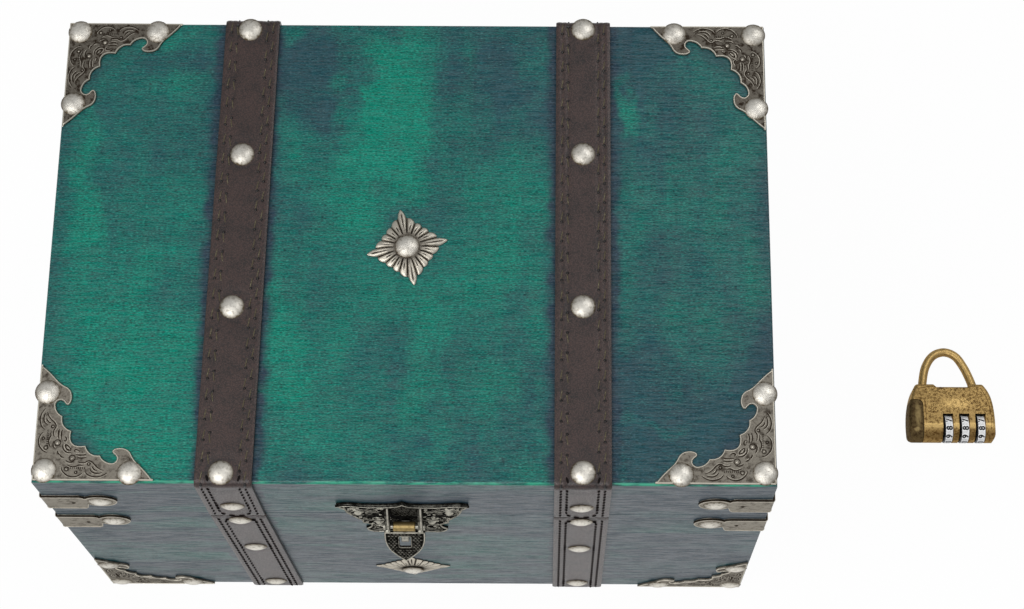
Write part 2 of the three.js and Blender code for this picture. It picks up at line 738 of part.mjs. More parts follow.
function addBoards() {
  const inset = wallThickness - floorRebate;
  const [x, y] = [boxWidth / 2 - inset, boxDepth / 2 - inset];
  const floor = block([-x, x], [-y, y], [0, floorThickness]);
  const half = Math.PI;
  addBoard("box", "base_floor", floor);
  addBoard("box", "base_front", cut(endBoard(0, seamHeight), floor));
  addBoard("box", "base_back", cut(endBoard(0, seamHeight).rotateZ(half), floor));
  addBoard("box", "base_right", cut(sideBoard(0, seamHeight), floor));
  addBoard("box", "base_left", cut(sideBoard(0, seamHeight).rotateZ(half), floor));
  const rails = [seamHeight + seamGap, boxHeight - topThickness];
  addBoard("lid", "lid_front_rail", endBoard(...rails));
  addBoard("lid", "lid_back_rail", endBoard(...rails).rotateZ(half));
  addBoard("lid", "lid_right_rail", sideBoard(...rails));
  addBoard("lid", "lid_left_rail", sideBoard(...rails).rotateZ(half));
  addBoard("lid", "lid_top", topPanel());
}

// The top panel lies over the rails, its upper edges rounded
function topPanel() {
  const low = boxHeight - topThickness;
  const profile = (half) => {
    const shape = new THREE.Shape();
    const round = topEdgeRadius;
    shape.moveTo(-half, low).lineTo(half, low).lineTo(half, boxHeight - round);
    shape.absarc(half - round, boxHeight - round, round, 0, Math.PI / 2, false);
    shape.lineTo(round - half, boxHeight);
    shape.absarc(round - half, boxHeight - round, round, Math.PI / 2, Math.PI, false);
    return shape;
  };
  const lengthwise = alongX(profile(boxDepth / 2), boxWidth, 3);
  const crosswise = alongX(profile(boxWidth / 2), boxDepth, 3).rotateZ(Math.PI / 2);
  return common(lengthwise, crosswise);
}

// Padlock case: the outline with rounded edges, and a round lower edge as thick as the case
function caseOutline() {
  const [side, top] = [lockHalfWidth, lockShoulder];
  const [inset, round] = [lockShoulderInset, lockShoulderRound];
  const { halfWidth, depth, slope } = lockRecess;
  const shape = new THREE.Shape();
  shape.moveTo(0, 0).lineTo(side - lockCorner, 0).quadraticCurveTo(side, 0, side, lockCorner);
  shape.quadraticCurveTo(side + lockBulge, lockWaist, side - inset, top - round);
  shape.quadraticCurveTo(side - inset - round / 2, top, side - inset - 1.5 * round, top);
  shape.lineTo(halfWidth + slope, top).lineTo(halfWidth, top - depth);
  shape.lineTo(-halfWidth, top - depth).lineTo(-halfWidth - slope, top);
  shape.lineTo(inset + 1.5 * round - side, top);
  shape.quadraticCurveTo(inset + round / 2 - side, top, inset - side, top - round);
  shape.quadraticCurveTo(-side - lockBulge, lockWaist, -side, lockCorner);
  shape.quadraticCurveTo(-side, 0, lockCorner - side, 0);
  return shape;
}

function caseBlank() {
  const rounded = new THREE.ExtrudeGeometry(caseOutline(), {
    depth: lockThickness - 2 * lockEdge, bevelThickness: lockEdge, bevelSize: lockEdge,
    bevelOffset: -lockEdge, bevelSegments: 2, curveSegments: 4,
  });
  const nose = new THREE.Shape();
  nose.moveTo(2 * lockShoulder, 0).lineTo(2 * lockShoulder, lockThickness);
  nose.lineTo(lockMiddle, lockThickness);
  nose.absarc(lockMiddle, lockMiddle, lockMiddle, Math.PI / 2, 1.5 * Math.PI, false);
  return common(rounded.translate(0, 0, lockEdge), alongX(nose, 3 * lockHalfWidth, 8));
}

// The slider fills the lower left corner of the case. Its bar goes into the case and guides it
function sliderRegion(grow) {
  const [x, y, corner] = [sliderEdge.x + grow, sliderEdge.y + grow, sliderEdge.corner];
  const far = -2 * lockHalfWidth;
  const shape = new THREE.Shape();
  shape.moveTo(far, -1).lineTo(x, -1).lineTo(x, y - corner);
  shape.quadraticCurveTo(x, y, x - corner, y).lineTo(far, y);
  return extrude(shape, lockThickness + 2, 4).translate(0, 0, -1);
}

function sliderGuide(grow) {
  const { reach, y, height, thickness } = sliderBar;
  const [halfHeight, halfThickness] = [height / 2 + grow, thickness / 2 + grow];
  return block(
    [sliderEdge.x - 2, reach + grow],
    [y - halfHeight, y + halfHeight],
    [lockMiddle - halfThickness, lockMiddle + halfThickness],
  );
}

function windowAt(x) {
  const half = dialWidth / 2 + lockClearance;
  const round = rodAlongX(dialRadius + lockClearance, [x - half, x + half], 16);
  const opening = block(
    [x - half, x + half],
    [-1, dialWindow.top],
    [dialZ + dialWindow.above, lockThickness + 1],
  );
  return join(round.translate(0, dialY, dialZ), opening);
}

function dial() {
  const half = dialWidth / 2;
  const bore = spindleRadius + lockClearance;
  const face = dialRadius - dialChamfer;
  const profile = [
    [bore, -half], [face, -half], [dialRadius, dialChamfer - half],
    [dialRadius, half - dialChamfer], [face, half], [bore, half], [bore, -half],
  ];
  return revolve(profile, 16).rotateY(Math.PI / 2);
}

function shackle() {
  const section = new THREE.Shape().absarc(0, 0, shackleRadius, 0, 2 * Math.PI);
  const route = shackleRoute.map(([x, y]) => new THREE.Vector3(x, y, lockMiddle));
  const wire = new THREE.ExtrudeGeometry(section, {
    steps: shackleSteps, extrudePath: new THREE.CatmullRomCurve3(route), curveSegments: 4,
  });
  const [x, y] = shackleRoute.at(-1);
  const eye = rod(shackleEye, [lockMiddle - shackleRadius, lockMiddle + shackleRadius]);
  const bore = rod(pivotRadius + lockClearance, [0, lockThickness]);
  return cut(join(wire, eye.translate(x, y, 0)), bore.translate(x, y, 0));
}

// Room for the shackle's toe on the left, and for its eye on the right
function toeHole() {
  const [[x0, y0], [x1, y1]] = shackleRoute;
  const length = Math.hypot(x1 - x0, y1 - y0);
  const hole = rod(shackleRadius + toeClearance, [-toeClearance, length], 8);
  hole.rotateX(-Math.PI / 2).rotateZ(-Math.atan2(x1 - x0, y1 - y0));
  return hole.translate(x0, y0, lockMiddle);
}

function shacklePocket() {
  const [x, y] = shackleRoute.at(-1);
  const half = shackleRadius + lockClearance;
  const room = shackleEye + toeClearance;
  return block(
    [x - shackleSwing, 2 * lockHalfWidth],
    [y - room, 2 * lockShoulder],
    [lockMiddle - half, lockMiddle + half],
  );
}

function addPadlock() {
  const blank = caseBlank();
  const grown = ([from, to]) => [from - lockClearance, to + lockClearance];
  const [pivotX, pivotY] = shackleRoute.at(-1);
  const pivotEnds = [pivotCover, lockThickness - pivotCover];
  const pivotBore = rod(pivotRadius + lockClearance, grown(pivotEnds)).translate(pivotX, pivotY, 0);
  const spindleBore = rodAlongX(spindleRadius + lockClearance, grown(spindleEnds));
  const hollow = cut(
    blank, sliderRegion(lockClearance), sliderGuide(lockClearance), ...dialX.map(windowAt),
    spindleBore.translate(0, dialY, dialZ), toeHole(), shacklePocket(), pivotBore,
  );
  const half = (from, to) => {
    const wide = [-2 * lockHalfWidth, 2 * lockHalfWidth];
    return common(hollow, block(wide, [-1, 2 * lockShoulder], [from, to]));
  };
  add("padlock", "padlock_back", "brass", half(-1, lockMiddle));
  add("padlock", "padlock_front", "brass", half(lockMiddle, lockThickness + 1));
  add("padlock", "padlock_slider", "brass", join(common(blank, sliderRegion(0)), sliderGuide(0)));
  add("padlock", "padlock_shackle", "brass", shackle());
  add("padlock", "shackle_pivot", "darkBronze", rod(pivotRadius, pivotEnds), frame(pivotX, pivotY, 0));
  const spindle = rodAlongX(spindleRadius, spindleEnds);
  add("padlock", "dial_spindle", "darkBronze", spindle, frame(0, dialY, dialZ));
  dialX.forEach((x, index) => {
    add("padlock", `dial_${index + 1}`, "dial", dial(), frame(x, dialY, dialZ));
  });
}

addStraps();
addCornerPlates();
addBands();
addRosettes();
addHasp();
addHinges();
addBoards();
addPadlock();

const strongbox = new THREE.Group();
strongbox.add(...Object.values(bodies));
export default strongbox;
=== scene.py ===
"""Looks for a green stained strongbox with leather straps, bronze fittings and a brass padlock.

Lengths inside the shape functions are millimetres in the part's own frame. A shape becomes metres when
it is made into a piece.
"""

import math
import random

import bmesh
import bpy
import numpy as np
from bpy.props import FloatProperty, FloatVectorProperty, IntProperty, PointerProperty
from bpy.types import Operator, Panel, PropertyGroup
from mathutils import Euler, Matrix, Vector


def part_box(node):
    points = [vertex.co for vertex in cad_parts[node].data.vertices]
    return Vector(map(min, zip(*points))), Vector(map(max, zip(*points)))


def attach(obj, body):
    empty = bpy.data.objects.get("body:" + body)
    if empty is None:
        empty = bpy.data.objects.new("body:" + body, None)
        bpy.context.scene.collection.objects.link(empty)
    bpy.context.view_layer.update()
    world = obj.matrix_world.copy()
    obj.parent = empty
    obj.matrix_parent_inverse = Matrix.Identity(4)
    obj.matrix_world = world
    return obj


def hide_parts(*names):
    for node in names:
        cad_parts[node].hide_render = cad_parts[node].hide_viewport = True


bl_info = {
    "name": "Strongbox looks",
    "version": (1, 0, 0),
    "blender": (4, 5, 0),
    "location": "3D View > Sidebar > Strongbox",
    "description": "Dresses a strapped wooden strongbox and its padlock",
    "category": "Object",
}

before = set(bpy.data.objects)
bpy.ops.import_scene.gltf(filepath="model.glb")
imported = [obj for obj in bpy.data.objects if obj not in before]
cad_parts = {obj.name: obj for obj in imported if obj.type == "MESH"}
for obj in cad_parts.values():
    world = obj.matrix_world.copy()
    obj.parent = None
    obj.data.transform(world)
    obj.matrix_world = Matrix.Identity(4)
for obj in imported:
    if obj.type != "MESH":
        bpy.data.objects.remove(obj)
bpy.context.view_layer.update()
MM = 0.001


def extent(node):
    """A node's lowest and highest corners, in millimetres."""
    low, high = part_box(node)
    return np.array(low) / MM, np.array(high) / MM


# Sizes read from the frame
HALF_WIDTH, HALF_DEPTH, TOP = extent("lid_top")[1]
SEAM = extent("base_left")[1][2]
LID_FOOT = extent("lid_left_rail")[0][2]
STRAP_LOW, STRAP_HIGH = extent("lid_strap_right")
STRAP_X = (STRAP_LOW[0] + STRAP_HIGH[0]) / 2
STRAP_HALF = (STRAP_HIGH[0] - STRAP_LOW[0]) / 2
STRAP_FOOT = extent("front_strap_right")[0][2]
STRAP_HEAD = extent("front_strap_right")[1][2]
SIDES = {"left": -1, "right": 1}


def srgb(red, green, blue):
    """The linear colour of 0 to 255 display values."""
    def linear(value):
        value /= 255
        return value / 12.92 if value <= 0.04045 else ((value + 0.055) / 1.055) ** 2.4
    return linear(red), linear(green), linear(blue)


def colour(name, text, *values):
    return FloatVectorProperty(
        name=name, description=text, subtype="COLOR", size=3, min=0, max=1, default=srgb(*values)
    )


def length(name, text, millimetres):
    return FloatProperty(
        name=name, description=text, unit="LENGTH", min=0, precision=5, default=millimetres * MM
    )


class StrongboxColours(PropertyGroup):
    """Colours of the finishes."""
    stain_bright: colour("Bright stain", "Where the stain is thin", 0, 126, 106)
    stain_deep: colour("Deep stain", "Where the stain is thick", 32, 84, 90)
    # Painted shade beside the straps, round the rosette and plates and on the walls; also the dusky tone of
    # the stain's flecks and strokes.
    stain_shade: colour("Stain shade", "Dark rubbed tone along straps and edges", 36, 58, 72)
    # A painted highlight along the lid's front top edge.
    stain_bare: colour("Chafed stain", "Thin stain on the lid's edges", 70, 186, 148)
    stain_fleck: colour("Pale flecks", "Small glints of the grain", 150, 178, 172)
    leather: colour("Leather", "Face of the straps", 74, 54, 49)
    # Also the painted shade of the awl holes and of the thread on the walls.
    leather_dark: colour("Leather creases", "Pores, edges and awl holes of the straps", 22, 17, 16)
    leather_pale: colour("Leather specks", "Small pale specks of the straps", 128, 108, 98)
    thread_colour: colour("Thread", "Waxed thread of the straps", 92, 85, 68)
    # Painted highlights: small pale glints on the thread.
    wax: colour("Wax", "Small glints of the thread", 128, 122, 98)
    bronze: colour("Bronze", "Raised parts of plates and bands", 214, 207, 192)
    bronze_dark: colour("Bronze ground", "Sunk parts of plates and bands", 57, 48, 39)
    nail: colour("Nail", "Domed nail heads", 250, 245, 234)
    # Painted shade at the rims of the nail heads, and their stains.
    nail_dark: colour("Nail stain", "Rim and blots of the nail heads", 92, 80, 60)
    hasp: colour("Hasp", "Rims of the hasp", 216, 212, 198)
    hasp_dark: colour("Hasp ground", "Ground of the hasp", 24, 23, 20)
    brass: colour("Brass", "Rubbed parts of the padlock", 228, 193, 126)
    brass_dark: colour("Brass ground", "Sunk parts of the padlock", 112, 82, 42)
    slider: colour("Dull brass", "Rubbed parts of the slider and the barrel", 196, 172, 118)
    slider_dark: colour("Dull brass ground", "Sunk parts of the slider and the barrel", 78, 60, 38)
    dial: colour("Dial", "Dial face", 252, 252, 252)
    dial_dirt: colour("Dial dirt", "Fine dirt on the dial faces", 150, 145, 138)
    ink: colour("Ink", "Digits of the dials", 16, 16, 20)


class StrongboxSizes(PropertyGroup):
    """Sizes of the finer forms."""
    strap_thickness: length("Strap thickness", "Leather over the wood", 1.8)
    stitch_pitch: length("Stitch pitch", "From one awl hole to the next", 8.4)
    thread: length("Thread", "Radius of the thread", 0.34)
    nail_radius: length("Nail radius", "Domed nail heads", 5.0)
    nail_height: length("Nail height", "Domed nail heads", 1.4)
    tack_radius: length("Tack radius", "Small heads on hasp and hinges", 1.8)
    tack_height: length("Tack height", "Small heads on hasp and hinges", 1.1)
    plate_thickness: length("Plate thickness", "Corner plates and hasp plates", 1.0)
    band_thickness: length("Band thickness", "Corner bands", 0.9)
    relief: length("Relief", "Radius of the beads that draw the scrolls", 0.32)
    dome_sides: IntProperty(name="Dome sides", description="Faces round a nail head", default=28)


def sizes():
    return bpy.context.scene.strongbox_sizes


def colours():
    return bpy.context.scene.strongbox_colours


def mm(value):
    """A size property, in millimetres."""
    return value / MM


# Shapes
def moved(solid, matrix):
    points, faces = solid
    return np.asarray(points) @ np.array(matrix.to_3x3()).T + np.array(matrix.translation), faces


class Shape:
    """Points in millimetres, faces, and each point's wear from 0, sunk, to 1, rubbed bright."""

    def __init__(self):
        self.points = []
        self.faces = []
        self.wear = []
        self.count = 0

    def add(self, solid, wear=0.5, matrix=None):
        points, faces = solid if matrix is None else moved(solid, matrix)
        points = np.asarray(points, dtype=float)
        self.points.append(points)
        self.faces.extend(tuple(self.count + int(index) for index in face) for face in faces)
        self.wear.append(np.zeros(len(points)) + wear)
        self.count += len(points)
        return self

    def bead(self, path, height, radius, wear, sides=6):
        """A round bead along a flat path, at a height."""
        return self.add(tube(lifted(path, height), radius, sides), wear)

    def joined(self):
        return np.concatenate(self.points), self.faces

    def placed(self, matrix):
        return Shape().add(self.joined(), np.concatenate(self.wear), matrix)


def loft(sections, closed=False):
    """Joins closed loops of points, one after another, with end caps unless the row is closed."""
    rows, columns = len(sections), len(sections[0])
    faces = []
    for row in range(rows if closed else rows - 1):
        here = row * columns
        ahead = (row + 1) % rows * columns
        for column in range(columns):
            beside = (column + 1) % columns
            faces.append((here + column, here + beside, ahead + beside, ahead + column))
    if not closed:
        last = (rows - 1) * columns
        faces.append(tuple(reversed(range(columns))))
        faces.append(tuple(range(last, last + columns)))
    return np.concatenate(sections), faces


def ring(radius, height, sides):
    turns = np.arange(sides) * 2 * math.pi / sides
    return np.stack([radius * np.cos(turns), radius * np.sin(turns), np.full(sides, height)], axis=1)


def lathe(profile, sides):
    """A solid turned round Z from pairs of radius and height. Its ends are capped."""
    return loft([ring(radius, height, sides) for radius, height in profile])


def rod(radius, low, high, sides):
    return lathe([(radius, low), (radius, high)], sides)


def turned_ring(profile, sides):
    """A ring turned round Z from a closed profile of radius and height."""
    sections = []
    for turn in np.arange(sides) * 2 * math.pi / sides:
        sections.append(np.array([(r * math.cos(turn), r * math.sin(turn), z) for r, z in profile]))
    return loft(sections, closed=True)


# Radii of a dome's foot and flat tip, as shares of its own
DOME_FOOT = 0.97
DOME_TIP = 0.04


def dome(radius, height, sides, rings=7):
    """A cap of a sphere on z = 0."""
    sphere = (radius ** 2 + height ** 2) / (2 * height)
    widest = math.asin(radius / sphere)
    profile = [(radius * DOME_FOOT, 0)]
    for step in range(rings):
        angle = widest * (1 - step / rings)
        profile.append((sphere * math.sin(angle), sphere * math.cos(angle) - sphere + height))
    profile.append((radius * DOME_TIP, height))
    return lathe(profile, sides)


def tube(path, radius, sides=8):
    """A round bar along a path. The radius may be one number or one for each point."""
    path = np.asarray(path, dtype=float)
    radii = np.zeros(len(path)) + radius
    along = np.gradient(path, axis=0)
    along /= np.linalg.norm(along, axis=1)[:, None]
    side = np.cross(along[0], (0.0, 0.0, 1.0))
    if np.linalg.norm(side) < 0.1:
        side = np.cross(along[0], (0.0, 1.0, 0.0))
    turns = np.arange(sides) * 2 * math.pi / sides
    sections = []
    for point, direction, size in zip(path, along, radii):
        side = side - direction * np.dot(side, direction)
        side /= np.linalg.norm(side)
        up = np.cross(side, direction)
        sections.append(point + size * (np.outer(np.cos(turns), side) + np.outer(np.sin(turns), up)))
    return loft(sections)


def tapered(count, radius, tip=0.25):
    """Radii that swell from a thin tip to the middle and back."""
    return radius * (tip + (1 - tip) * np.sin(np.linspace(0, math.pi, count)))


def through(points, steps):
    """A smooth path through points, as a Catmull-Rom curve."""
    points = np.asarray(points, dtype=float)
    padded = np.vstack([2 * points[0] - points[1], points, 2 * points[-1] - points[-2]])
    path = []
    for a, b, c, d in zip(padded, padded[1:], padded[2:], padded[3:]):
        for t in np.arange(steps) / steps:
            path.append(
                0.5 * (2 * b + (c - a) * t + (2 * a - 5 * b + 4 * c - d) * t ** 2
                       + (3 * b - a - 3 * c + d) * t ** 3)
            )
    path.append(points[-1])
    return np.array(path)


def arc(centre, radius, start, end, steps):
    turns = np.radians(np.linspace(start, end, steps + 1))
    return np.stack([centre[0] + radius * np.cos(turns), centre[1] + radius * np.sin(turns)], axis=1)


def curved(start, curves, steps=8):
    """An outline from a start point and pairs of control point and end point."""
    outline = [np.array(start, dtype=float)]
    for control, end in curves:
        first, control, end = outline[-1], np.array(control), np.array(end)
        for t in np.arange(1, steps + 1) / steps:
            outline.append((1 - t) ** 2 * first + 2 * t * (1 - t) * control + t ** 2 * end)
    return np.array(outline)


def mirrored(outline):
    """Closes half an outline, drawn down the right, with its mirror image."""
    return np.vstack([outline, (outline * (-1, 1))[::-1]])


def inset(outline, distance):
    """Moves a closed outline inwards along its normals."""
    around = np.roll(outline, -1, axis=0) - np.roll(outline, 1, axis=0)
    lengths = np.maximum(np.linalg.norm(around, axis=1), 1e-6)[:, None]
    area = np.sum(outline[:, 0] * np.roll(outline[:, 1], -1) - outline[:, 1] * np.roll(outline[:, 0], -1))
    inwards = np.stack([-around[:, 1], around[:, 0]], axis=1) / lengths * math.copysign(1, area)
    return outline + inwards * distance


def distinct(outline):
    """Drops points that repeat the one before them."""
    keep = np.linalg.norm(outline - np.roll(outline, 1, axis=0), axis=1) > 1e-4
    return outline[keep]


def lifted(outline, height):
    return np.column_stack([outline, np.zeros(len(outline)) + height])


def closed_path(outline):
    return np.vstack([outline, outline[:1]])


def solid_of(mesh):
    """A mesh's points and faces. The mesh itself is removed."""
    points = np.array([vertex.co[:] for vertex in mesh.vertices])
    faces = [tuple(polygon.vertices) for polygon in mesh.polygons]
    bpy.data.meshes.remove(mesh)
    return points, faces


def mesh_of(data):
    """The points and faces of a curve or text, as a solid."""
    carrier = bpy.data.objects.new("carrier", data)
    solid = solid_of(bpy.data.meshes.new_from_object(carrier))
    bpy.data.objects.remove(carrier)
    bpy.data.curves.remove(data)
    return solid


def plate(outlines, thickness, edge, detail=2):
    """A flat plate with rounded edges between z = 0 and its thickness. Later outlines are holes."""
    data = bpy.data.curves.new("outline", "CURVE")
    data.dimensions = "2D"
    data.fill_mode = "BOTH"
    data.extrude = thickness / 2 - edge
    data.bevel_depth = edge
    data.bevel_resolution = detail
    data.offset = -edge
    for outline in outlines:
        outline = distinct(outline)
        spline = data.splines.new("POLY")
        spline.points.add(len(outline) - 1)
        values = np.column_stack([outline, np.zeros(len(outline)), np.ones(len(outline))])
        spline.points.foreach_set("co", values.ravel())
        spline.use_cyclic_u = True
    points, faces = mesh_of(data)
    return points + (0, 0, thickness / 2), faces


def block(low, high):
    """A box between two corners."""
    (x0, y0, z0), (x1, y1, z1) = low, high
    loops = [[(x0, y0, z), (x1, y0, z), (x1, y1, z), (x0, y1, z)] for z in (z0, z1)]
    return loft([np.array(loop, dtype=float) for loop in loops])


# Placing
def at(x, y, z, turn=0, tilt=0):
    """A place turned about Z and then tilted about its own X, in degrees."""
    spin = Matrix.Rotation(math.radians(turn), 4, "Z") @ Matrix.Rotation(math.radians(tilt), 4, "X")
    return Matrix.Translation((x, y, z)) @ spin


FACES = {
    "top": at(0, 0, TOP),
    "front": at(0, -HALF_DEPTH, 0, 0, 90),
    "back": at(0, HALF_DEPTH, 0, 180, 90),
}
ALONG_X = Euler((0, math.radians(90), 0)).to_matrix().to_4x4()


def on(face, x, y, turn=0):
    """A place on a face: x to the right, y upwards and z outwards."""
    return FACES[face] @ at(x, y, 0, turn)


# Solids for cutting, which stay in millimetres. Their points nearer than WELD become one
WELD = 1e-4


def face_outwards(mesh, weld=0):
    work = bmesh.new()
    work.from_mesh(mesh)
    if weld:
        bmesh.ops.remove_doubles(work, verts=work.verts, dist=weld)
    bmesh.ops.recalc_face_normals(work, faces=work.faces)
    work.to_mesh(mesh)
    work.free()


def scratch(solid):
    mesh = bpy.data.meshes.new("scratch")
    mesh.from_pydata(np.asarray(solid[0]).tolist(), [], solid[1])
    face_outwards(mesh, WELD)
    thing = bpy.data.objects.new("scratch", mesh)
    bpy.context.collection.objects.link(thing)
    return thing


def carve(solid, *steps):
    """Applies boolean steps, each an operation and a solid."""
    whole = scratch(solid)
    others = []
    for operation, other in steps:
        others.append(scratch(other))
        modifier = whole.modifiers.new(operation, "BOOLEAN")
        modifier.operation = operation
        modifier.object = others[-1]
        modifier.solver = "EXACT"
    bpy.context.view_layer.update()
    mesh = bpy.data.meshes.new_from_object(whole.evaluated_get(bpy.context.evaluated_depsgraph_get()))
    for thing in [whole, *others]:
        bpy.data.meshes.remove(thing.data)
    return solid_of(mesh)


# Angle, in degrees, above which a piece's edges are made sharp
CREASE = 38


def make_piece(name, shape, material, body, replaces=(), place=None, crease=CREASE):
    """Turns a shape into a piece that rides on a body and may stand for nodes."""
    if place is not None:
        shape = shape.placed(place)
    mesh = bpy.data.meshes.new(name)
    mesh.from_pydata((np.concatenate(shape.points) * MM).tolist(), [], shape.faces)
    wear = mesh.attributes.new("wear", "FLOAT", "POINT")
    wear.data.foreach_set("value", np.concatenate(shape.wear))
    face_outwards(mesh)
    mesh.shade_smooth()
    mesh.set_sharp_from_angle(angle=math.radians(crease))
    mesh.materials.append(finish(material))
    thing = bpy.data.objects.new(name, mesh)
    bpy.context.collection.objects.link(thing)
    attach(thing, body)
    if replaces:
        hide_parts(*replaces)


# Shader nodes
class Net:
    """Adds nodes to a tree. A value that is a socket is linked, any other is set."""

    def __init__(self, tree):
        self.tree = tree

    def node(self, kind, values=(), **settings):
        node = self.tree.nodes.new(kind)
        for name, value in settings.items():
            setattr(node, name, value)
        for key, value in dict(values).items():
            self.feed(node.inputs[key], value)
        return node

    def feed(self, socket, value):
        if isinstance(value, bpy.types.NodeSocket):
            self.tree.links.new(value, socket)
        else:
            socket.default_value = value

    def math(self, operation, first, second=0.0, clamp=False):
        values = {0: first, 1: second}
        return self.node("ShaderNodeMath", values, operation=operation, use_clamp=clamp).outputs[0]

    def plus(self, first, second, clamp=False):
        return self.math("ADD", first, second, clamp)

    def minus(self, first, second):
        return self.math("SUBTRACT", first, second)

    def times(self, first, second, clamp=False):
        return self.math("MULTIPLY", first, second, clamp)

    def larger(self, first, second):
        return self.math("MAXIMUM", first, second)

    def centred(self, value, amount):
        """Noise about 0.5 as a shift to both sides of zero."""
        return self.times(self.minus(value, 0.5), amount)

    def ramp(self, value, low, high, start=0.0, end=1.0):
        """Start below low, end above high, and smooth between."""
        values = {"Value": value, "From Min": low, "From Max": high, "To Min": start, "To Max": end}
        node = self.node("ShaderNodeMapRange", values, interpolation_type="SMOOTHSTEP", clamp=True)
        return node.outputs[0]

    def mix(self, factor, first, second, blend="MIX"):
        node = self.node("ShaderNodeMix", data_type="RGBA", blend_type=blend)
        self.feed(node.inputs[0], factor)
        self.feed(node.inputs[6], first)
        self.feed(node.inputs[7], second)
        return node.outputs[2]

    def stretch(self, vector, *scale):
        node = self.node("ShaderNodeVectorMath", {0: vector, 1: scale}, operation="MULTIPLY")
        return node.outputs[0]

    def noise(self, vector, scale=1.0, detail=2.0, roughness=0.5):
        values = {"Vector": vector, "Scale": scale, "Detail": detail, "Roughness": roughness}
        return self.node("ShaderNodeTexNoise", values).outputs["Fac"]

    def cells(self, vector, scale):
        values = {"Vector": vector, "Scale": scale}
        return self.node("ShaderNodeTexVoronoi", values, feature="F1").outputs["Distance"]


def rgba(values):
    return (*values, 1.0)


SOCKETS = {"vector": "NodeSocketVector", "colour": "NodeSocketColor", "value": "NodeSocketFloat"}


def open_group(name, takes, gives):
    """A new shader group. Returns its net, the sockets it takes, and the node that it gives to."""
    tree = bpy.data.node_groups.new(name, "ShaderNodeTree")
    for label, kind in takes.items():
        tree.interface.new_socket(name=label, in_out="INPUT", socket_type=SOCKETS[kind])
    for label, kind in gives.items():
        tree.interface.new_socket(name=label, in_out="OUTPUT", socket_type=SOCKETS[kind])
    net = Net(tree)
    return net, net.node("NodeGroupInput").outputs, net.node("NodeGroupOutput").inputs


# Ramps below are low and high value, and the result at both, which is 0 and 1 where it isn't given
# Noise of the stain: how often it changes along the grain and across it, its detail and its roughness
STAIN_NOISE = {
    "fibre": ((0.35, 2.0), 2, 0.6),
    "ripple": ((0.03, 0.22), 3, 0.5),
    "fleck": ((0.9, 3.0), 2, 0.6),
    "cloud": ((0.017, 0.014), 5, 0.55),
    "stroke": ((0.16, 0.02), 3, 0.5),
}
# How much each noise thins the stain, varies its painted shade and darkens its grain
THIN_SHARES = {"stroke": 0.6, "ripple": 0.2, "fleck": 0.9, "fibre": 0.5}
SHADE_NOISE_SHARES = {"ripple": 1.3, "fleck": 0.9}
GRAIN_RAMPS = {
    "fibre": (0.3, 0.7, 0.72, 1.26), "fleck": (0.3, 0.7, -0.42, 0.46), "ripple": (0.25, 0.75, -0.08, 0.08),
}
THIN_CLOUDS = (0.22, 0.78)
DUSKY_FLECKS = (0.42, 0.6, 0.0, 0.55)
DUSKY_STROKES = (0.3, 0.7, 0.0, 0.3)
PALE_FLECKS = (0.6, 0.76, 0.0, 0.3)
STAIN_ROUGHNESS = (0.2, 0.8, 0.52, 0.4)


def stain_group():
    """Thin stain brushed over wood: grain along X and brush strokes across it, with a painted shade tone and
    a painted highlight tone mixed in where the inputs ask.
    """
    takes = {"Place": "vector", "Bright": "colour", "Deep": "colour", "Shade": "colour", "Highlight tone": "colour",
             "Thin": "value", "Rubbed": "value", "Edge highlight": "value"}
    gives = {"Color": "colour", "Roughness": "value", "Height": "value"}
    net, source, target = open_group("Brushed stain", takes, gives)
    noises = {}
    for name, ((along, across), detail, roughness) in STAIN_NOISE.items():
        stretched = net.stretch(source["Place"], along, across, across)
        noises[name] = net.noise(stretched, detail=detail, roughness=roughness)
    fibre, fleck, stroke = noises["fibre"], noises["fleck"], noises["stroke"]
    thin = net.ramp(noises["cloud"], *THIN_CLOUDS)
    for name, share in THIN_SHARES.items():
        thin = net.plus(thin, net.centred(noises[name], share))
    thin = net.plus(thin, source["Thin"], clamp=True)
    dusky = net.plus(net.ramp(fleck, *DUSKY_FLECKS), net.ramp(stroke, *DUSKY_STROKES))
    deep = net.mix(dusky, source["Deep"], source["Shade"])
    tone = net.mix(thin, deep, source["Bright"])
    grain = 0.0
    for name, limits in GRAIN_RAMPS.items():
        grain = net.plus(grain, net.ramp(noises[name], *limits))
    # Painted shade: where the Rubbed input asks, varied by noise, the Shade colour is mixed in.
    edge = source["Rubbed"]
    for name, share in SHADE_NOISE_SHARES.items():
        edge = net.plus(edge, net.centred(noises[name], share))
    tone = net.mix(net.times(edge, source["Rubbed"], clamp=True), tone, source["Shade"])
    grey = net.node("ShaderNodeCombineColor", {0: grain, 1: grain, 2: grain}).outputs[0]
    tone = net.mix(1.0, tone, grey, "MULTIPLY")
    tone = net.mix(net.ramp(fleck, *PALE_FLECKS), tone, rgba(colours().stain_fleck))
    # Last, the painted highlight tone is mixed in where asked.
    net.feed(target["Color"], net.mix(source["Edge highlight"], tone, source["Highlight tone"]))
    net.feed(target["Roughness"], net.ramp(fibre, *STAIN_ROUGHNESS))
    net.feed(target["Height"], net.plus(fibre, net.times(fleck, 0.5)))
    return net.tree


PEBBLE_SCALE = 1.7
LEATHER_CLOUD = {"scale": 0.09, "detail": 4, "roughness": 0.6}
LEATHER_SPECK = {"scale": 1.9, "detail": 3, "roughness": 0.65}
PORES = (0.25, 0.7, 0.0, 0.55)
CLOUDS = (0.4, 0.75, 0.0, 0.35)
DARK_SPECKS = (0.55, 0.3, 0.0, 0.4)
PALE_SPECKS = (0.6, 0.8, 0.0, 0.25)
SUNK = (0.0, 0.45, 1.0, 0.0)
LEATHER_ROUGHNESS = (0.1, 0.7, 0.36, 0.55)


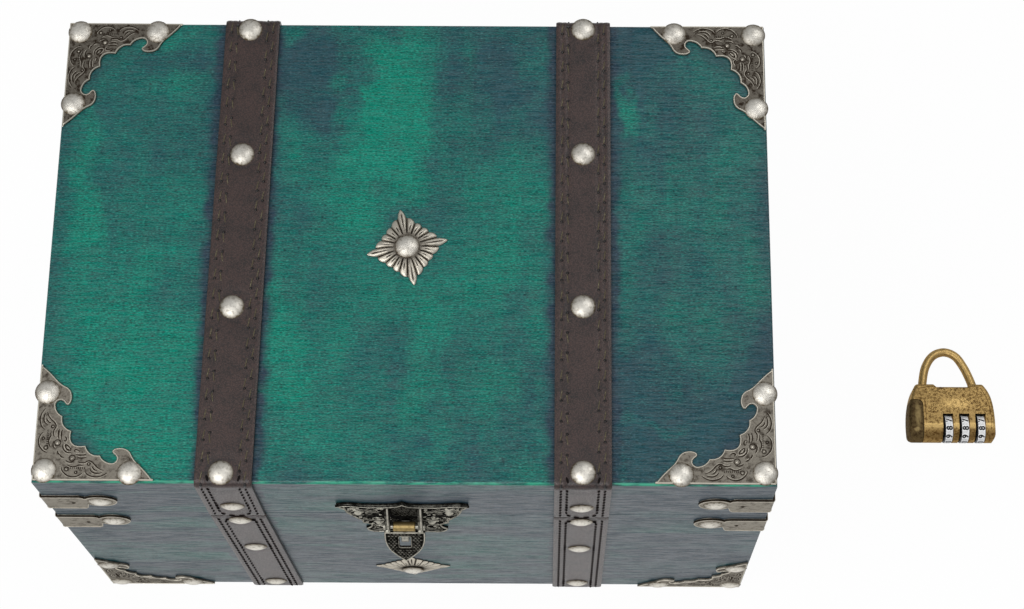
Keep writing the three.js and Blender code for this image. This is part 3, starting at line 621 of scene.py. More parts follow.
def leather_group():
    """Pebbled leather: fine pores, soft creases and tone that follows the wear."""
    takes = {"Place": "vector", "Face": "colour", "Crease": "colour", "Wear": "value"}
    gives = {"Color": "colour", "Roughness": "value", "Height": "value"}
    net, source, target = open_group("Pebbled leather", takes, gives)
    pebble = net.cells(source["Place"], PEBBLE_SCALE)
    cloud = net.noise(source["Place"], **LEATHER_CLOUD)
    speck = net.noise(source["Place"], **LEATHER_SPECK)
    dark = net.plus(net.ramp(pebble, *PORES), net.ramp(cloud, *CLOUDS))
    dark = net.plus(dark, net.ramp(speck, *DARK_SPECKS))
    dark = net.plus(dark, net.ramp(source["Wear"], *SUNK), clamp=True)
    tone = net.mix(dark, source["Face"], source["Crease"])
    net.feed(target["Color"], net.mix(net.ramp(speck, *PALE_SPECKS), tone, rgba(colours().leather_pale)))
    net.feed(target["Roughness"], net.ramp(pebble, *LEATHER_ROUGHNESS))
    net.feed(target["Height"], net.minus(speck, pebble))
    return net.tree


METAL_BLOT = {"scale": 1.0, "detail": 5, "roughness": 0.65}
METAL_PIT = {"scale": 2.2, "detail": 3, "roughness": 0.6}
BLOT_EDGE = (0.46, 0.68)
PIT_SHARE = 0.35
METAL_ROUGHNESS = (0.0, 1.0, 0.62, 0.44)


def metal_group():
    """Aged metal: bright where it is worn, dark where it is sunk, with blots and fine pits."""
    takes = {"Place": "vector", "Bright": "colour", "Dark": "colour", "Wear": "value",
             "Blot size": "value", "Blots": "value"}
    gives = {"Color": "colour", "Roughness": "value", "Height": "value"}
    net, source, target = open_group("Aged metal", takes, gives)
    scale = net.math("DIVIDE", 1.0, source["Blot size"])
    sized = net.node("ShaderNodeVectorMath", {0: source["Place"], "Scale": scale}, operation="SCALE")
    blot = net.noise(sized.outputs[0], **METAL_BLOT)
    pit = net.noise(source["Place"], **METAL_PIT)
    spots = net.times(net.ramp(blot, *BLOT_EDGE), source["Blots"])
    bright = net.plus(net.minus(source["Wear"], spots), net.centred(pit, PIT_SHARE), clamp=True)
    net.feed(target["Color"], net.mix(bright, source["Dark"], source["Bright"]))
    net.feed(target["Roughness"], net.ramp(bright, *METAL_ROUGHNESS))
    net.feed(target["Height"], net.plus(pit, net.times(blot, 2.0)))
    return net.tree


GROUPS = {"Brushed stain": stain_group, "Pebbled leather": leather_group, "Aged metal": metal_group}


def group_tree(name):
    return bpy.data.node_groups.get(name) or GROUPS[name]()


def open_material(name):
    """A new material's net, its surface shader and the place in millimetres."""
    made = bpy.data.materials.new(name)
    made.use_nodes = True
    net = Net(made.node_tree)
    surface = made.node_tree.nodes["Principled BSDF"]
    place = net.node("ShaderNodeTexCoord").outputs["Object"]
    return made, net, surface, net.stretch(place, 1 / MM, 1 / MM, 1 / MM)


def use_group(net, surface, name, values, depth, strength):
    """Places a group and feeds its colour, roughness and height to the surface. Depth is millimetres."""
    group = net.node("ShaderNodeGroup", node_tree=group_tree(name))
    for label, value in values.items():
        net.feed(group.inputs[label], value)
    net.feed(surface.inputs["Base Color"], group.outputs["Color"])
    net.feed(surface.inputs["Roughness"], group.outputs["Roughness"])
    bump = net.node("ShaderNodeBump", {
        "Height": group.outputs["Height"], "Distance": depth * MM, "Strength": strength,
    })
    net.feed(surface.inputs["Normal"], bump.outputs["Normal"])


def worn(net):
    return net.node("ShaderNodeAttribute", attribute_name="wear").outputs["Fac"]


# Patches of the lid's stain: x, y, reach along x, reach along y, and how much brighter, or darker below 0
STAIN_PATCHES = [
    (-3, 62, 19, 46, 0.6), (-24, 28, 28, 20, 0.4), (-40, 74, 24, 28, -0.7), (-52, -45, 15, 30, 0.3),
    (8, -60, 10, 48, 0.3), (88, 62, 8, 17, 0.55), (-134, 22, 9, 46, 0.35), (-116, -58, 26, 11, 0.4),
    (122, -42, 20, 30, 0.3), (103, -74, 26, 5, 0.2), (94, -50, 12, 24, 0.12), (38, 70, 22, 26, -0.25),
    (-104, 84, 22, 14, -0.4), (44, -50, 12, 46, -0.25), (110, -20, 26, 70, -0.12), (-112, 5, 34, 80, -0.14),
]
PATCH_EDGE = 1.1


def patches(net, x, y, spots):
    """The sum of soft ellipses, each with its own amount."""
    total = 0.0
    for middle_x, middle_y, reach_x, reach_y, amount in spots:
        along = net.math("DIVIDE", net.minus(x, middle_x), reach_x)
        across = net.math("DIVIDE", net.minus(y, middle_y), reach_y)
        away = net.plus(net.times(along, along), net.times(across, across))
        total = net.plus(total, net.ramp(away, 0.0, PATCH_EDGE, amount, 0.0))
    return total


# Painted shade round straps, rosette and corner plates, and a darker tone along the edges: where each fades
# from and to, and its strength there
STRAP_SHADE = (0.3, 6.5, 1.0, 0.0)
END_HALO = (0.0, 12.0, 0.6, 0.0)
SIDE_HALO = (0.0, 9.0, 0.45, 0.0)
ROSETTE_SHADE = (9.0, 19.0, 0.6, 0.0)
CORNER_SHADE = (34.0, 50.0, 0.75, 0.0)
# The outer surfaces, by depth under the walls and by height
OUTER_SKIN = (1.5, 3.0, 1.0, 0.0)
TOP_SKIN = (TOP - 2.0, TOP - 1.0)
# Painted shade of the walls, and the painted highlight of the front edge with its breaks
WALL_SHADE = (0.35, 0.7, 1.05, 0.7)
WALL_SHADE_NOISE = (0.012, 0.05, 0.05)
EDGE_HIGHLIGHT = (0.6, 1.3, 0.9, 0.0)
EDGE_HIGHLIGHT_BREAKS = (0.38, 0.62, 0.1, 1.0)
EDGE_HIGHLIGHT_NOISE = (0.12, 0.12, 0.6)
# The stain is thicker towards the right
STAIN_DRIFT = (-20.0, 110.0, 0.04, -0.36)
# Noise scale, detail and reach, in millimetres, of the halos' waver and of the patches'
WOBBLE = (0.09, 3, 9.0)
SWAY = (0.05, 4, 46.0)
# Glossy lines of the grain
LINE_GRAIN = (0.09, 1.25, 1.25)
LINE_ROUGHNESS = 0.7
LINE_GLOSS = (0.36, 0.62, 0.12, 0.5)
LINE_COAT = (0.36, 0.62, 0.02, 0.46)
# Relief: depth in millimetres and strength
WOOD_RELIEF = (0.12, 0.5)
LEATHER_RELIEF = (0.12, 0.7)
METAL_DEPTH = 0.05
METAL_RELIEF = 0.6
WOOD_SHEEN = {"Coat Roughness": 0.42}
LEATHER_SHEEN = {"Coat Weight": 0.3, "Coat Roughness": 0.35}
THREAD_SHEEN = {"Specular IOR Level": 0.15}


def waver(net, place, scale, detail, reach):
    return net.centred(net.noise(place, scale, detail=detail), reach)


def preset(surface, values):
    for name, value in values.items():
        surface.inputs[name].default_value = value


def rubbed_wood(net, place, x, y, edge, on_top):
    """How dark the stain is painted: painted shade beside the straps and round the rosette and the corner
    plates, a darker tone along the edges, and painted shade on the walls.
    """
    wobble = waver(net, place, *WOBBLE)
    across = net.math("ABSOLUTE", x)
    beside = net.math("ABSOLUTE", net.minus(across, STRAP_X))
    beside = net.plus(net.minus(beside, STRAP_HALF), wobble)
    end = net.plus(net.minus(HALF_WIDTH, across), wobble)
    side = net.plus(edge, wobble)
    shaded = net.larger(net.ramp(beside, *STRAP_SHADE), net.ramp(end, *END_HALO))
    shaded = net.times(shaded, net.larger(on_top, net.ramp(edge, *OUTER_SKIN)))
    near_x = net.minus(x, ROSETTES["lid_rosette"][2])
    near_y = net.minus(y, ROSETTES["lid_rosette"][3])
    around = net.math("SQRT", net.plus(net.times(near_x, near_x), net.times(near_y, near_y)))
    halos = [(side, SIDE_HALO), (net.plus(around, wobble), ROSETTE_SHADE), (net.plus(end, edge), CORNER_SHADE)]
    for distance, halo in halos:
        shaded = net.larger(shaded, net.times(on_top, net.ramp(distance, *halo)))
    # The walls get painted shade, varied by noise along the grain.
    wall = net.ramp(net.noise(net.stretch(place, *WALL_SHADE_NOISE), detail=3), *WALL_SHADE)
    return net.larger(shaded, net.times(net.minus(1.0, on_top), wall))


def stained_wood(name):
    made, net, surface, place = open_material(name)
    x, y, z = net.node("ShaderNodeSeparateXYZ", {0: place}).outputs
    edge = net.minus(HALF_DEPTH, net.math("ABSOLUTE", y))
    on_top = net.ramp(z, *TOP_SKIN)
    shaded = rubbed_wood(net, place, x, y, edge, on_top)
    sway = waver(net, place, *SWAY)
    lid_patches = patches(net, net.plus(x, sway), net.minus(y, sway), STAIN_PATCHES)
    thin = net.plus(net.ramp(x, *STAIN_DRIFT), net.times(on_top, lid_patches))
    grain = place
    if name == "stained_wood_ends":
        grain = net.node("ShaderNodeCombineXYZ", {0: y, 1: x, 2: z}).outputs[0]
    # A painted highlight along the lid's front top edge, broken by noise.
    corner = net.plus(net.plus(y, HALF_DEPTH), net.minus(TOP, z))
    broken = net.ramp(net.noise(net.stretch(place, *EDGE_HIGHLIGHT_NOISE), detail=3), *EDGE_HIGHLIGHT_BREAKS)
    own = colours()
    use_group(net, surface, "Brushed stain", {
        "Place": grain, "Bright": rgba(own.stain_bright), "Deep": rgba(own.stain_deep),
        "Shade": rgba(own.stain_shade), "Highlight tone": rgba(own.stain_bare), "Thin": thin, "Rubbed": shaded,
        "Edge highlight": net.times(net.ramp(corner, *EDGE_HIGHLIGHT), broken),
    }, *WOOD_RELIEF)
    lines = net.noise(net.stretch(grain, *LINE_GRAIN), detail=3, roughness=LINE_ROUGHNESS)
    net.feed(surface.inputs["Specular IOR Level"], net.ramp(lines, *LINE_GLOSS))
    net.feed(surface.inputs["Coat Weight"], net.ramp(lines, *LINE_COAT))
    preset(surface, WOOD_SHEEN)
    return made


def strap_leather(name):
    made, net, surface, place = open_material(name)
    own = colours()
    use_group(net, surface, "Pebbled leather", {
        "Place": place, "Face": rgba(own.leather), "Crease": rgba(own.leather_dark), "Wear": worn(net),
    }, *LEATHER_RELIEF)
    preset(surface, LEATHER_SHEEN)
    return made


THREAD_GLINTS = (0.52, 0.68, 0.0, 0.8)
WAX_ROUGHNESS = (0.0, 0.8, 0.85, 0.5)


def waxed_thread(name):
    """Thread, near black on the walls as painted shade, its own paler colour on the top, with small painted
    glints there.
    """
    made, net, surface, place = open_material(name)
    own = colours()
    wear = worn(net)
    glint = net.times(net.ramp(net.noise(place, 1.3), *THREAD_GLINTS), wear)
    tone = net.mix(wear, rgba(own.leather_dark), rgba(own.thread_colour))
    net.feed(surface.inputs["Base Color"], net.mix(glint, tone, rgba(own.wax)))
    net.feed(surface.inputs["Roughness"], net.ramp(glint, *WAX_ROUGHNESS))
    preset(surface, THREAD_SHEEN)
    return made


def aged_metal(name, bright, dark, blot_size, blots, depth=METAL_DEPTH, edge_tint=0.5, spots=()):
    """Metal, darker at a low angle. Spots of x, y, reaches and amount add to the wear: worn patches, painted
    highlights, and painted shade where the amount is below 0.
    """
    made, net, surface, place = open_material(name)
    wear = worn(net)
    if spots:
        x, y, _ = net.node("ShaderNodeSeparateXYZ", {0: place}).outputs
        wear = net.plus(wear, patches(net, x, y, spots))
    use_group(net, surface, "Aged metal", {
        "Place": place, "Bright": rgba(bright), "Dark": rgba(dark), "Wear": wear,
        "Blot size": blot_size, "Blots": blots,
    }, depth, METAL_RELIEF)
    preset(surface, {"Metallic": 0.9, "Specular Tint": (edge_tint, edge_tint, edge_tint, 1.0)})
    return made


PAINT_EDGE = (0.2, 0.8)
PAINT_DIRT = (0.5, 0.8, 0.0, 0.15)
PAINT_ROUGHNESS = (0.0, 0.25, 0.32, 0.5)
DIAL_PAINTED_GLOW = 0.12


def dial_face(name):
    made, net, surface, place = open_material(name)
    own = colours()
    tone = net.mix(net.ramp(worn(net), *PAINT_EDGE), rgba(own.ink), rgba(own.dial))
    dirt = net.ramp(net.noise(place, 1.2, detail=4), *PAINT_DIRT)
    net.feed(surface.inputs["Base Color"], net.mix(dirt, tone, rgba(own.dial_dirt)))
    net.feed(surface.inputs["Roughness"], net.ramp(dirt, *PAINT_ROUGHNESS))
    # The dial glows a little in its own colour: painted light that brightens the shaded dials.
    net.feed(surface.inputs["Emission Color"], tone)
    preset(surface, {"Emission Strength": DIAL_PAINTED_GLOW})
    return made


def finish(name):
    """The material of that name, made when it is first asked for."""
    made = bpy.data.materials.get(name)
    if made:
        return made
    own = colours()
    # Bright and dark colour, blot size and amount, then where they differ relief, edge tint and spots
    metals = {
        "aged_bronze": (own.bronze, own.bronze_dark, 2.6, 0.3),
        "nail_bronze": (own.nail, own.nail_dark, 1.5, 0.3, 0.09, 0.6),
        "black_bronze": (own.hasp, own.hasp_dark, 1.6, 0.35, 0.05, 0.12),
        "antique_brass": (own.brass, own.brass_dark, 1.1, 0.5, 0.05, 0.5, LOCK_WEAR_AND_LIGHT),
        "rubbed_brass": (own.brass, own.brass_dark, 2.4, 0.2, 0.02, 0.45),
        "dull_brass": (own.slider, own.slider_dark, 1.6, 0.25, 0.05, 0.4, SLIDER_HIGHLIGHTS),
    }
    if name in metals:
        return aged_metal(name, *metals[name])
    makers = {"strap_leather": strap_leather, "waxed_thread": waxed_thread, "dial_face": dial_face}
    return makers.get(name, stained_wood)(name)


# Nails
# Painted light of a nail's rings, from its rim to its middle: painted shade at the rim, a painted highlight
# in the middle
DOME_SHADE_AND_HIGHLIGHT = (0.05, 0.05, 0.45, 0.68, 0.82, 0.94, 1.0, 1.0, 1.0)
NAIL_TILT = 1.5
NAIL_SHINE = (0.9, 1.05)


def nail_heads(places, seed):
    """Domed heads with painted shade round the rim and a painted highlight in the middle, each turned a
    little so that no two look alike.
    """
    drawn = random.Random(seed)
    shape = Shape()
    own = sizes()
    solid = dome(mm(own.nail_radius), mm(own.nail_height), own.dome_sides)
    for place in places:
        tilt = at(0, 0, 0, drawn.uniform(0, 360), drawn.uniform(-NAIL_TILT, NAIL_TILT))
        wear = np.repeat(DOME_SHADE_AND_HIGHLIGHT, own.dome_sides) * drawn.uniform(*NAIL_SHINE)
        shape.add(solid, wear, place @ tilt)
    return shape


def tack_heads(places):
    own = sizes()
    shape = Shape()
    solid = dome(mm(own.tack_radius), mm(own.tack_height), 16, rings=4)
    for place in places:
        shape.add(solid, 0.9, place)
    return shape


# Straps
STRAP_ROWS = (2.6, 5.0)
STRAP_TOP_NAILS = (-27, 39)
STRAP_END_INSET = 3.6
LID_NAIL_RISE = 17
BASE_NAIL_HEIGHTS = (124.5, 78, 11)
FOLD = 1.2
FOLD_STEPS = 8
STRAP_STEP = 1.6
SEAM_GAP = 0.3
ROW_END = 1.6
ROW_TURN = 6.4
ROW_TURN_STEPS = 12
# Places of the section's points, from an edge inwards
STRAP_STEPS = [0, 0.25, 0.7, 1.4, 2.0, 2.6, 3.2, 3.8, 4.4, 5.0, 5.6, 6.4, 7.6, 9.4]
# Hollow round a nail: its depth, its distance from the nail's middle and its width
NAIL_HOLLOW = (0.22, 6.2, 1.5)
# Depth and width of the hollow along a row of stitches and of the fall at the strap's edges
ROW_HOLLOW = (0.14, 0.6)
EDGE_FALL = (0.3, 0.55)
END_FALL = 0.35
STRAP_WEAR = {"edge": 0.2, "nail": 0.34, "row": 0.42, "face": 0.5, "side": 0.1}
ROW_REACH = 0.7
# A strap is on the top where its normal points up by more than this
FLAT = 0.7
# How far a strap's nails on the top are moved
STRAP_NAILS_ASIDE = {"lid_strap_left": (-0.9, 0, 0), "lid_strap_right": (0, 0.9, 0)}
# How a strap lies askew: sideways, more with y, and more with height
STRAP_LEAN = {"lid_strap_left": (0.3, 1.1, 0), "front_strap_left": (1.6, 0, -2.3)}
STRAIGHT = (0, 0, 0)


def wall_stations(face):
    """Down a wall at x = 0: each has a point and an outward normal."""
    count = int((STRAP_HEAD - STRAP_FOOT) / STRAP_STEP)
    out = FACES[face].to_3x3() @ Vector((0, 0, 1))
    return [(FACES[face] @ Vector((0, y, 0)), out) for y in np.linspace(STRAP_HEAD, STRAP_FOOT, count)]


def lid_stations():
    """From the foot on the front, over the top and down the back."""
    foot = LID_FOOT + SEAM_GAP
    heights = np.linspace(foot, TOP - FOLD, int((TOP - foot) / STRAP_STEP))
    depths = np.linspace(FOLD - HALF_DEPTH, HALF_DEPTH - FOLD, int(2 * HALF_DEPTH / STRAP_STEP))
    front = [(Vector((0, -HALF_DEPTH, z)), Vector((0, -1, 0))) for z in heights]
    for turn in np.radians(np.linspace(0, 90, FOLD_STEPS + 1)[1:-1]):
        normal = Vector((0, -math.cos(turn), math.sin(turn)))
        front.append((Vector((0, FOLD - HALF_DEPTH, TOP - FOLD)) + normal * FOLD, normal))
    top = [(Vector((0, y, TOP)), Vector((0, 0, 1))) for y in depths]
    turned = Vector((1, -1, 1))
    back = [(point * turned, normal * turned) for point, normal in reversed(front)]
    return front + top + back


def strap_height(x, dip):
    """Height of the leather over the wood, across the strap. A dip of 1 is the hollow round a nail."""
    edge = STRAP_HALF - abs(x)
    height = mm(sizes().strap_thickness) - NAIL_HOLLOW[0] * dip
    depth, width = ROW_HOLLOW
    for row in STRAP_ROWS:
        height -= depth * math.exp(-((edge - row) / width) ** 2)
    depth, width = EDGE_FALL
    return height - depth * math.exp(-(edge / width) ** 2)


def strap(stations, nails):
    """The leather as one solid."""
    columns = [x - STRAP_HALF for x in STRAP_STEPS] + [STRAP_HALF - x for x in reversed(STRAP_STEPS)]
    _, hollow_radius, hollow_width = NAIL_HOLLOW
    sections = []
    wear = []
    for index, (point, normal) in enumerate(stations):
        fall = END_FALL if index in (0, len(stations) - 1) else 0
        section = []
        for x in columns:
            middle = Vector((x, 0, 0)) + point
            near = min((middle - nail).length for nail in nails)
            dip = math.exp(-((near - hollow_radius) / hollow_width) ** 2)
            section.append(middle + normal * (strap_height(x, dip) - fall))
            edge = STRAP_HALF - abs(x)
            sewn = min(STRAP_ROWS) - ROW_REACH < edge < max(STRAP_ROWS) + ROW_REACH
            part = "edge" if edge < 0.1 else "nail" if dip > 0.6 else "row" if sewn else "face"
            wear.append(STRAP_WEAR[part])
        for x in (columns[-1], columns[0]):
            section.append(Vector((x, 0, 0)) + point)
            wear.append(STRAP_WEAR["side"])
        sections.append(np.array(section))
    return Shape().add(loft(sections), np.array(wear))


def stitch_rows(total, turned):
    """Paths of the stitching as places across and along. The inner row turns round a strap's turned ends."""
    outer, inner = (STRAP_HALF - row for row in STRAP_ROWS)
    low, high = ROW_END, total - ROW_END
    rows = [[(side * outer, low), (side * outer, high)] for side in (-1, 1)]
    start, end = turned
    inner_low = low + ROW_TURN if start else low
    inner_high = high - ROW_TURN if end else high
    turns = np.linspace(math.pi, 0, ROW_TURN_STEPS + 1)
    loop = [(-inner, inner_high), (-inner, inner_low)]
    if start:
        loop += [(inner * math.cos(t), low + ROW_TURN * (1 - math.sin(t))) for t in turns[1:-1]]
    else:
        rows.append(loop)
        loop = []
    loop += [(inner, inner_low), (inner, inner_high)]
    if end:
        loop += [(inner * math.cos(t), high - ROW_TURN * (1 - math.sin(t))) for t in turns[::-1][1:]]
    rows.append(loop)
    return rows


# Start and end of the stitches in each pitch. The walls have two short ones, half a pitch apart
TOP_STITCH = (0.4, 4.2)
WALL_STITCH = (0.6, 2.3)
LEAST_STITCH = 1.5
STITCH_POINTS = 7
STITCH_SLANT = 0.3
STITCH_RISE = 0.2
STITCH_SINK = 0.12
# Thickness of the thread on the top and on the walls
TOP_THREAD = 0.75
WALL_THREAD = 1.35
# Where the outer rows begin, as a share of the pitch, and how much later the inner ones do
ROW_START = 0.15
ROW_SHIFT = 0.43
# Places along an awl hole, and its radii there
HOLE_STEPS = (-0.5, 0, 0.5)
HOLE_RADII = (0.4, 0.75, 0.4)
HOLE_SINK = 0.06


def run_along(points):
    """Distance along a path at each of its points."""
    return np.concatenate([[0], np.cumsum(np.linalg.norm(np.diff(points, axis=0), axis=1))])


def stitches(stations, turned):
    """Stitches in rows along both edges, and the awl holes between the long ones of the top."""
    own = sizes()
    points = np.array([point for point, _ in stations])
    normals = np.array([normal for _, normal in stations])
    run = run_along(points)

    def spot(x, distance, lift):
        point = [np.interp(distance, run, points[:, axis]) for axis in range(3)]
        normal = np.array([np.interp(distance, run, normals[:, axis]) for axis in range(3)])
        return np.array(point) + (x, 0, 0) + normal * (strap_height(x, 0) + lift)

    pitch, thread = mm(own.stitch_pitch), mm(own.thread)
    bow = STITCH_RISE * np.sin(np.linspace(0, math.pi, STITCH_POINTS)) ** 0.4 - STITCH_SINK
    slant = np.linspace(-STITCH_SLANT, STITCH_SLANT, STITCH_POINTS)
    sewn, holes = Shape(), Shape()
    for number, row in enumerate(stitch_rows(run[-1], turned)):
        row = np.array(row)
        along = run_along(row)
        start = pitch * (ROW_START + ROW_SHIFT * (number > 1))
        for first in np.arange(start - pitch, along[-1], pitch):
            there = np.interp(first + pitch / 2, along, row[:, 1])
            flat = np.interp(there, run, normals[:, 2]) > FLAT
            low, high = TOP_STITCH if flat else WALL_STITCH
            radii = tapered(STITCH_POINTS, thread * (TOP_THREAD if flat else WALL_THREAD), 0.7)
            for shift in ((0,) if flat else (0, pitch / 2)):
                steps = np.linspace(first + low + shift, first + high + shift, STITCH_POINTS)
                steps = np.clip(steps, 0, along[-1])
                if steps[-1] - steps[0] < LEAST_STITCH:
                    continue
                across = np.interp(steps, along, row[:, 0]) + slant
                distance = np.interp(steps, along, row[:, 1])
                path = [spot(x, s, up) for x, s, up in zip(across, distance, bow)]
                # The thread gets wear 1 on the top and 0 on the walls, where it is painted near black:
                # painted shade.
                sewn.add(tube(path, radii, 7), float(flat))
            # Awl holes are dark discs on the leather: painted shade of the holes.
            if first > 0 and flat:
                x, s = (np.interp(first, along, row[:, axis]) for axis in (0, 1))
                holes.add(tube([spot(x, s + step, -HOLE_SINK) for step in HOLE_STEPS], HOLE_RADII), -0.5)
    return sewn, holes


def leaned(points, lean):
    """Points moved sideways where a strap lies a little askew."""
    sideways, deeper, higher = lean
    shift = sideways + deeper * points[:, 1] / HALF_DEPTH + higher * points[:, 2] / SEAM
    return points + np.outer(shift, (1, 0, 0))


def strap_piece(name, body, stations, centre, nails, seed):
    """Leather, stitches and nails of one strap at x = centre."""
    lean = STRAP_LEAN.get(name, STRAIGHT)
    leather = strap(stations, nails)
    sewn, holes = stitches(stations, (True, name.startswith("lid")))
    # The awl holes join the leather with wear 0, painted dark: painted shade.
    if holes.points:
        leather.add(holes.joined(), 0.0)
    for shape, part, material in ((leather, "_leather", "strap_leather"), (sewn, "_thread", "waxed_thread")):
        shape.points = [leaned(points, lean) + (centre, 0, 0) for points in shape.points]
        make_piece(name + part, shape, material, body, [name])
    seat = mm(sizes().strap_thickness)
    heads = []
    for nail in nails:
        _, normal = min(stations, key=lambda station: (station[0] - nail).length)
        aside = STRAP_NAILS_ASIDE.get(name, STRAIGHT) if normal.z > FLAT else STRAIGHT
        middle = leaned(np.array([nail]), lean)[0] + (centre, 0, 0) + np.array(normal) * seat + aside
        heads.append(Matrix.Translation(middle) @ normal.to_track_quat("Z", "Y").to_matrix().to_4x4())
    make_piece(name + "_nails", nail_heads(heads, seed), "nail_bronze", body)


class STRONGBOX_OT_straps(Operator):
    """Leather straps over the lid and down the base, stitched and nailed"""
    bl_idname = "strongbox.straps"
    bl_label = "Straps"

    def execute(self, context):
        lid = lid_stations()
        end = HALF_DEPTH - STRAP_END_INSET
        lid_nails = [Vector((0, y, TOP)) for y in (-end, *STRAP_TOP_NAILS, end)]
        walls = {"front": -HALF_DEPTH, "back": HALF_DEPTH}
        lid_nails += [Vector((0, wall, SEAM + LID_NAIL_RISE)) for wall in walls.values()]
        for seed, (side, sign) in enumerate(SIDES.items()):
            strap_piece(f"lid_strap_{side}", "lid", lid, sign * STRAP_X, lid_nails, seed)
            for face, wall in walls.items():
                run = wall_stations(face)
                nails = [Vector((0, wall, z)) for z in BASE_NAIL_HEIGHTS]
                strap_piece(f"{face}_strap_{side}", "box", run, sign * STRAP_X, nails, seed + 10)
        return {"FINISHED"}


# Corner plates, drawn with the corner at the origin and a leg along each axis
PLATE_INSET = 0.5
PLATE_TIP = (47.5, PLATE_INSET)
PLATE_CURVES = [
    ((45.2, 3.8), (41.4, 7.2)), ((39.6, 8.8), (38.6, 10.9)), ((37.4, 13.7), (33.8, 13.7)),
    ((31.6, 13.6), (31.0, 12.4)), ((30.9, 11.6), (32.0, 10.9)), ((33.3, 9.8), (32.8, 8.6)),
    ((32.0, 7.1), (30.2, 7.6)), ((27.6, 8.1), (26.4, 10.6)), ((22.0, 10.1), (20.4, 14.5)),
]
PLATE_BITE = (13.2, 13.2)
# Nails at the corner, on the first leg and on the second, set a little differently on each plate
PLATE_NAILS = {
    "lid_plate_front_left": [(4.9, 4.4), (38.3, 3.6), (3.9, 36.2)],
    "lid_plate_front_right": [(4.9, 4.7), (37.2, 4.1), (4.1, 37.4)],
    "lid_plate_back_right": [(4.7, 4.6), (37.6, 4.2), (4.3, 38.0)],
    "lid_plate_back_left": [(4.6, 5.0), (37.4, 4.4), (4.4, 37.2)],
    "front_plate_left": [(5.2, 5.2), (38, 5.2), (5.2, 38)],
    "front_plate_right": [(5.2, 5.2), (38, 5.2), (5.2, 38)],
}
# Engraved lines of one leg: a winged leaf with its scalloped upper line and lobes below, then curls
PLATE_LINES = [
    [(30.3, 4.3), (27.9, 4.6), (26.4, 5.2), (25.1, 6.2), (23.8, 7.6), (22.6, 8.3), (21.6, 8.2), (20.6, 7.6),
     (19.1, 7.6), (18.1, 7.9), (17.3, 8.5)],
    [(16.9, 8.0), (15.2, 7.7), (13.8, 8.0), (12.9, 8.7)],
    [(21.2, 6.8), (19.6, 6.5), (18.4, 6.6), (17.3, 6.1), (16, 5.9), (14.4, 6.4), (13.1, 7.1)],
    [(30.3, 4.3), (29, 3.2), (27.4, 2.3), (25.6, 1.9), (23.8, 2.1), (22.2, 2.7), (21.2, 3.7), (20.7, 4.7)],
    [(20.5, 4.5), (19.6, 3.2), (18.1, 2.2), (16.2, 1.9), (14.4, 2.3), (13.1, 3.2), (12.1, 4.3), (11.7, 5.4),
     (12.1, 6.6)],
    [(28.0, 3.9), (26.6, 3.4), (24.8, 3.4), (23.4, 4.2), (22.6, 5.6)],
    [(26.0, 4.4), (24.9, 4.6), (24.0, 5.4), (23.4, 6.6)],
    [(16.9, 9.9), (18.4, 9.5), (20.0, 9.5), (21.6, 9.9)],
    [(16.4, 10.9), (18.2, 10.7), (20.0, 10.7), (21.2, 11.2)],
    [(12.4, 14.6), (12.6, 13.6), (13.6, 12.9), (14.8, 12.6), (14.4, 13.6), (13.6, 14.3), (12.4, 14.6)],
    [(15.6, 11.6), (13.8, 11.6), (12.4, 12.4), (11.2, 13.9)],
    [(18.6, 11.9), (17.2, 12.8), (16.2, 12.4), (17.0, 11.7)],
    [(12.6, 9.6), (11.4, 9.9), (10.6, 10.8)],
]
PLATE_WEAR = 0.38
# The plates at the back are painted darker: painted shade.
PLATE_WEAR_SHADED_BACK = 0.22
PLATE_RINGS = [(15.6, 9.4, 1.2), (13.6, 5.0, 0.8), (17.4, 3.7, 0.5), (22.2, 7.1, 0.6)]
PLATE_TEETH = np.linspace(14.4, 20.6, 9)
PLATE_TOOTH = (5.0, 5.8)
TOOTH_LEAN = 0.15
TOOTH_RADIUS = 0.16
# Radii of an engraved line and of its lip, how far both are sunk, and the lip's distance from the line
LINE_RADIUS = 0.38
LINE_SINK = 0.209
LIP_RADIUS = 0.22
LIP_SINK = 0.099
LIP_ASIDE = 0.437
PLATE_RIM = (0.38, 0.08)
PLATE_SOFT = 0.25


def plate_outline():
    forward = curved(PLATE_TIP, PLATE_CURVES)
    bite = curved(forward[-1], [(PLATE_BITE, forward[-1][::-1])])[1:-1]
    return np.vstack([[(PLATE_INSET, PLATE_INSET)], forward, bite, forward[::-1, ::-1]])


def engraved(shape, path, height):
    """A dark sunk line with a light lip along one side."""
    along = np.gradient(path, axis=0)
    along /= np.maximum(np.linalg.norm(along, axis=1), 1e-6)[:, None]
    lip = path + np.stack([-along[:, 1], along[:, 0]], axis=1) * LIP_ASIDE
    shape.bead(path, height - LINE_SINK, tapered(len(path), LINE_RADIUS, 0.5), 0.0)
    shape.bead(lip, height - LIP_SINK, tapered(len(lip), LIP_RADIUS, 0.3), 0.85)


def edge_bead(shape, outline, distance, height, radius, wear):
    """A bead that follows a closed outline at a distance inside it."""
    shape.bead(closed_path(inset(distinct(outline), distance)), height, radius, wear)


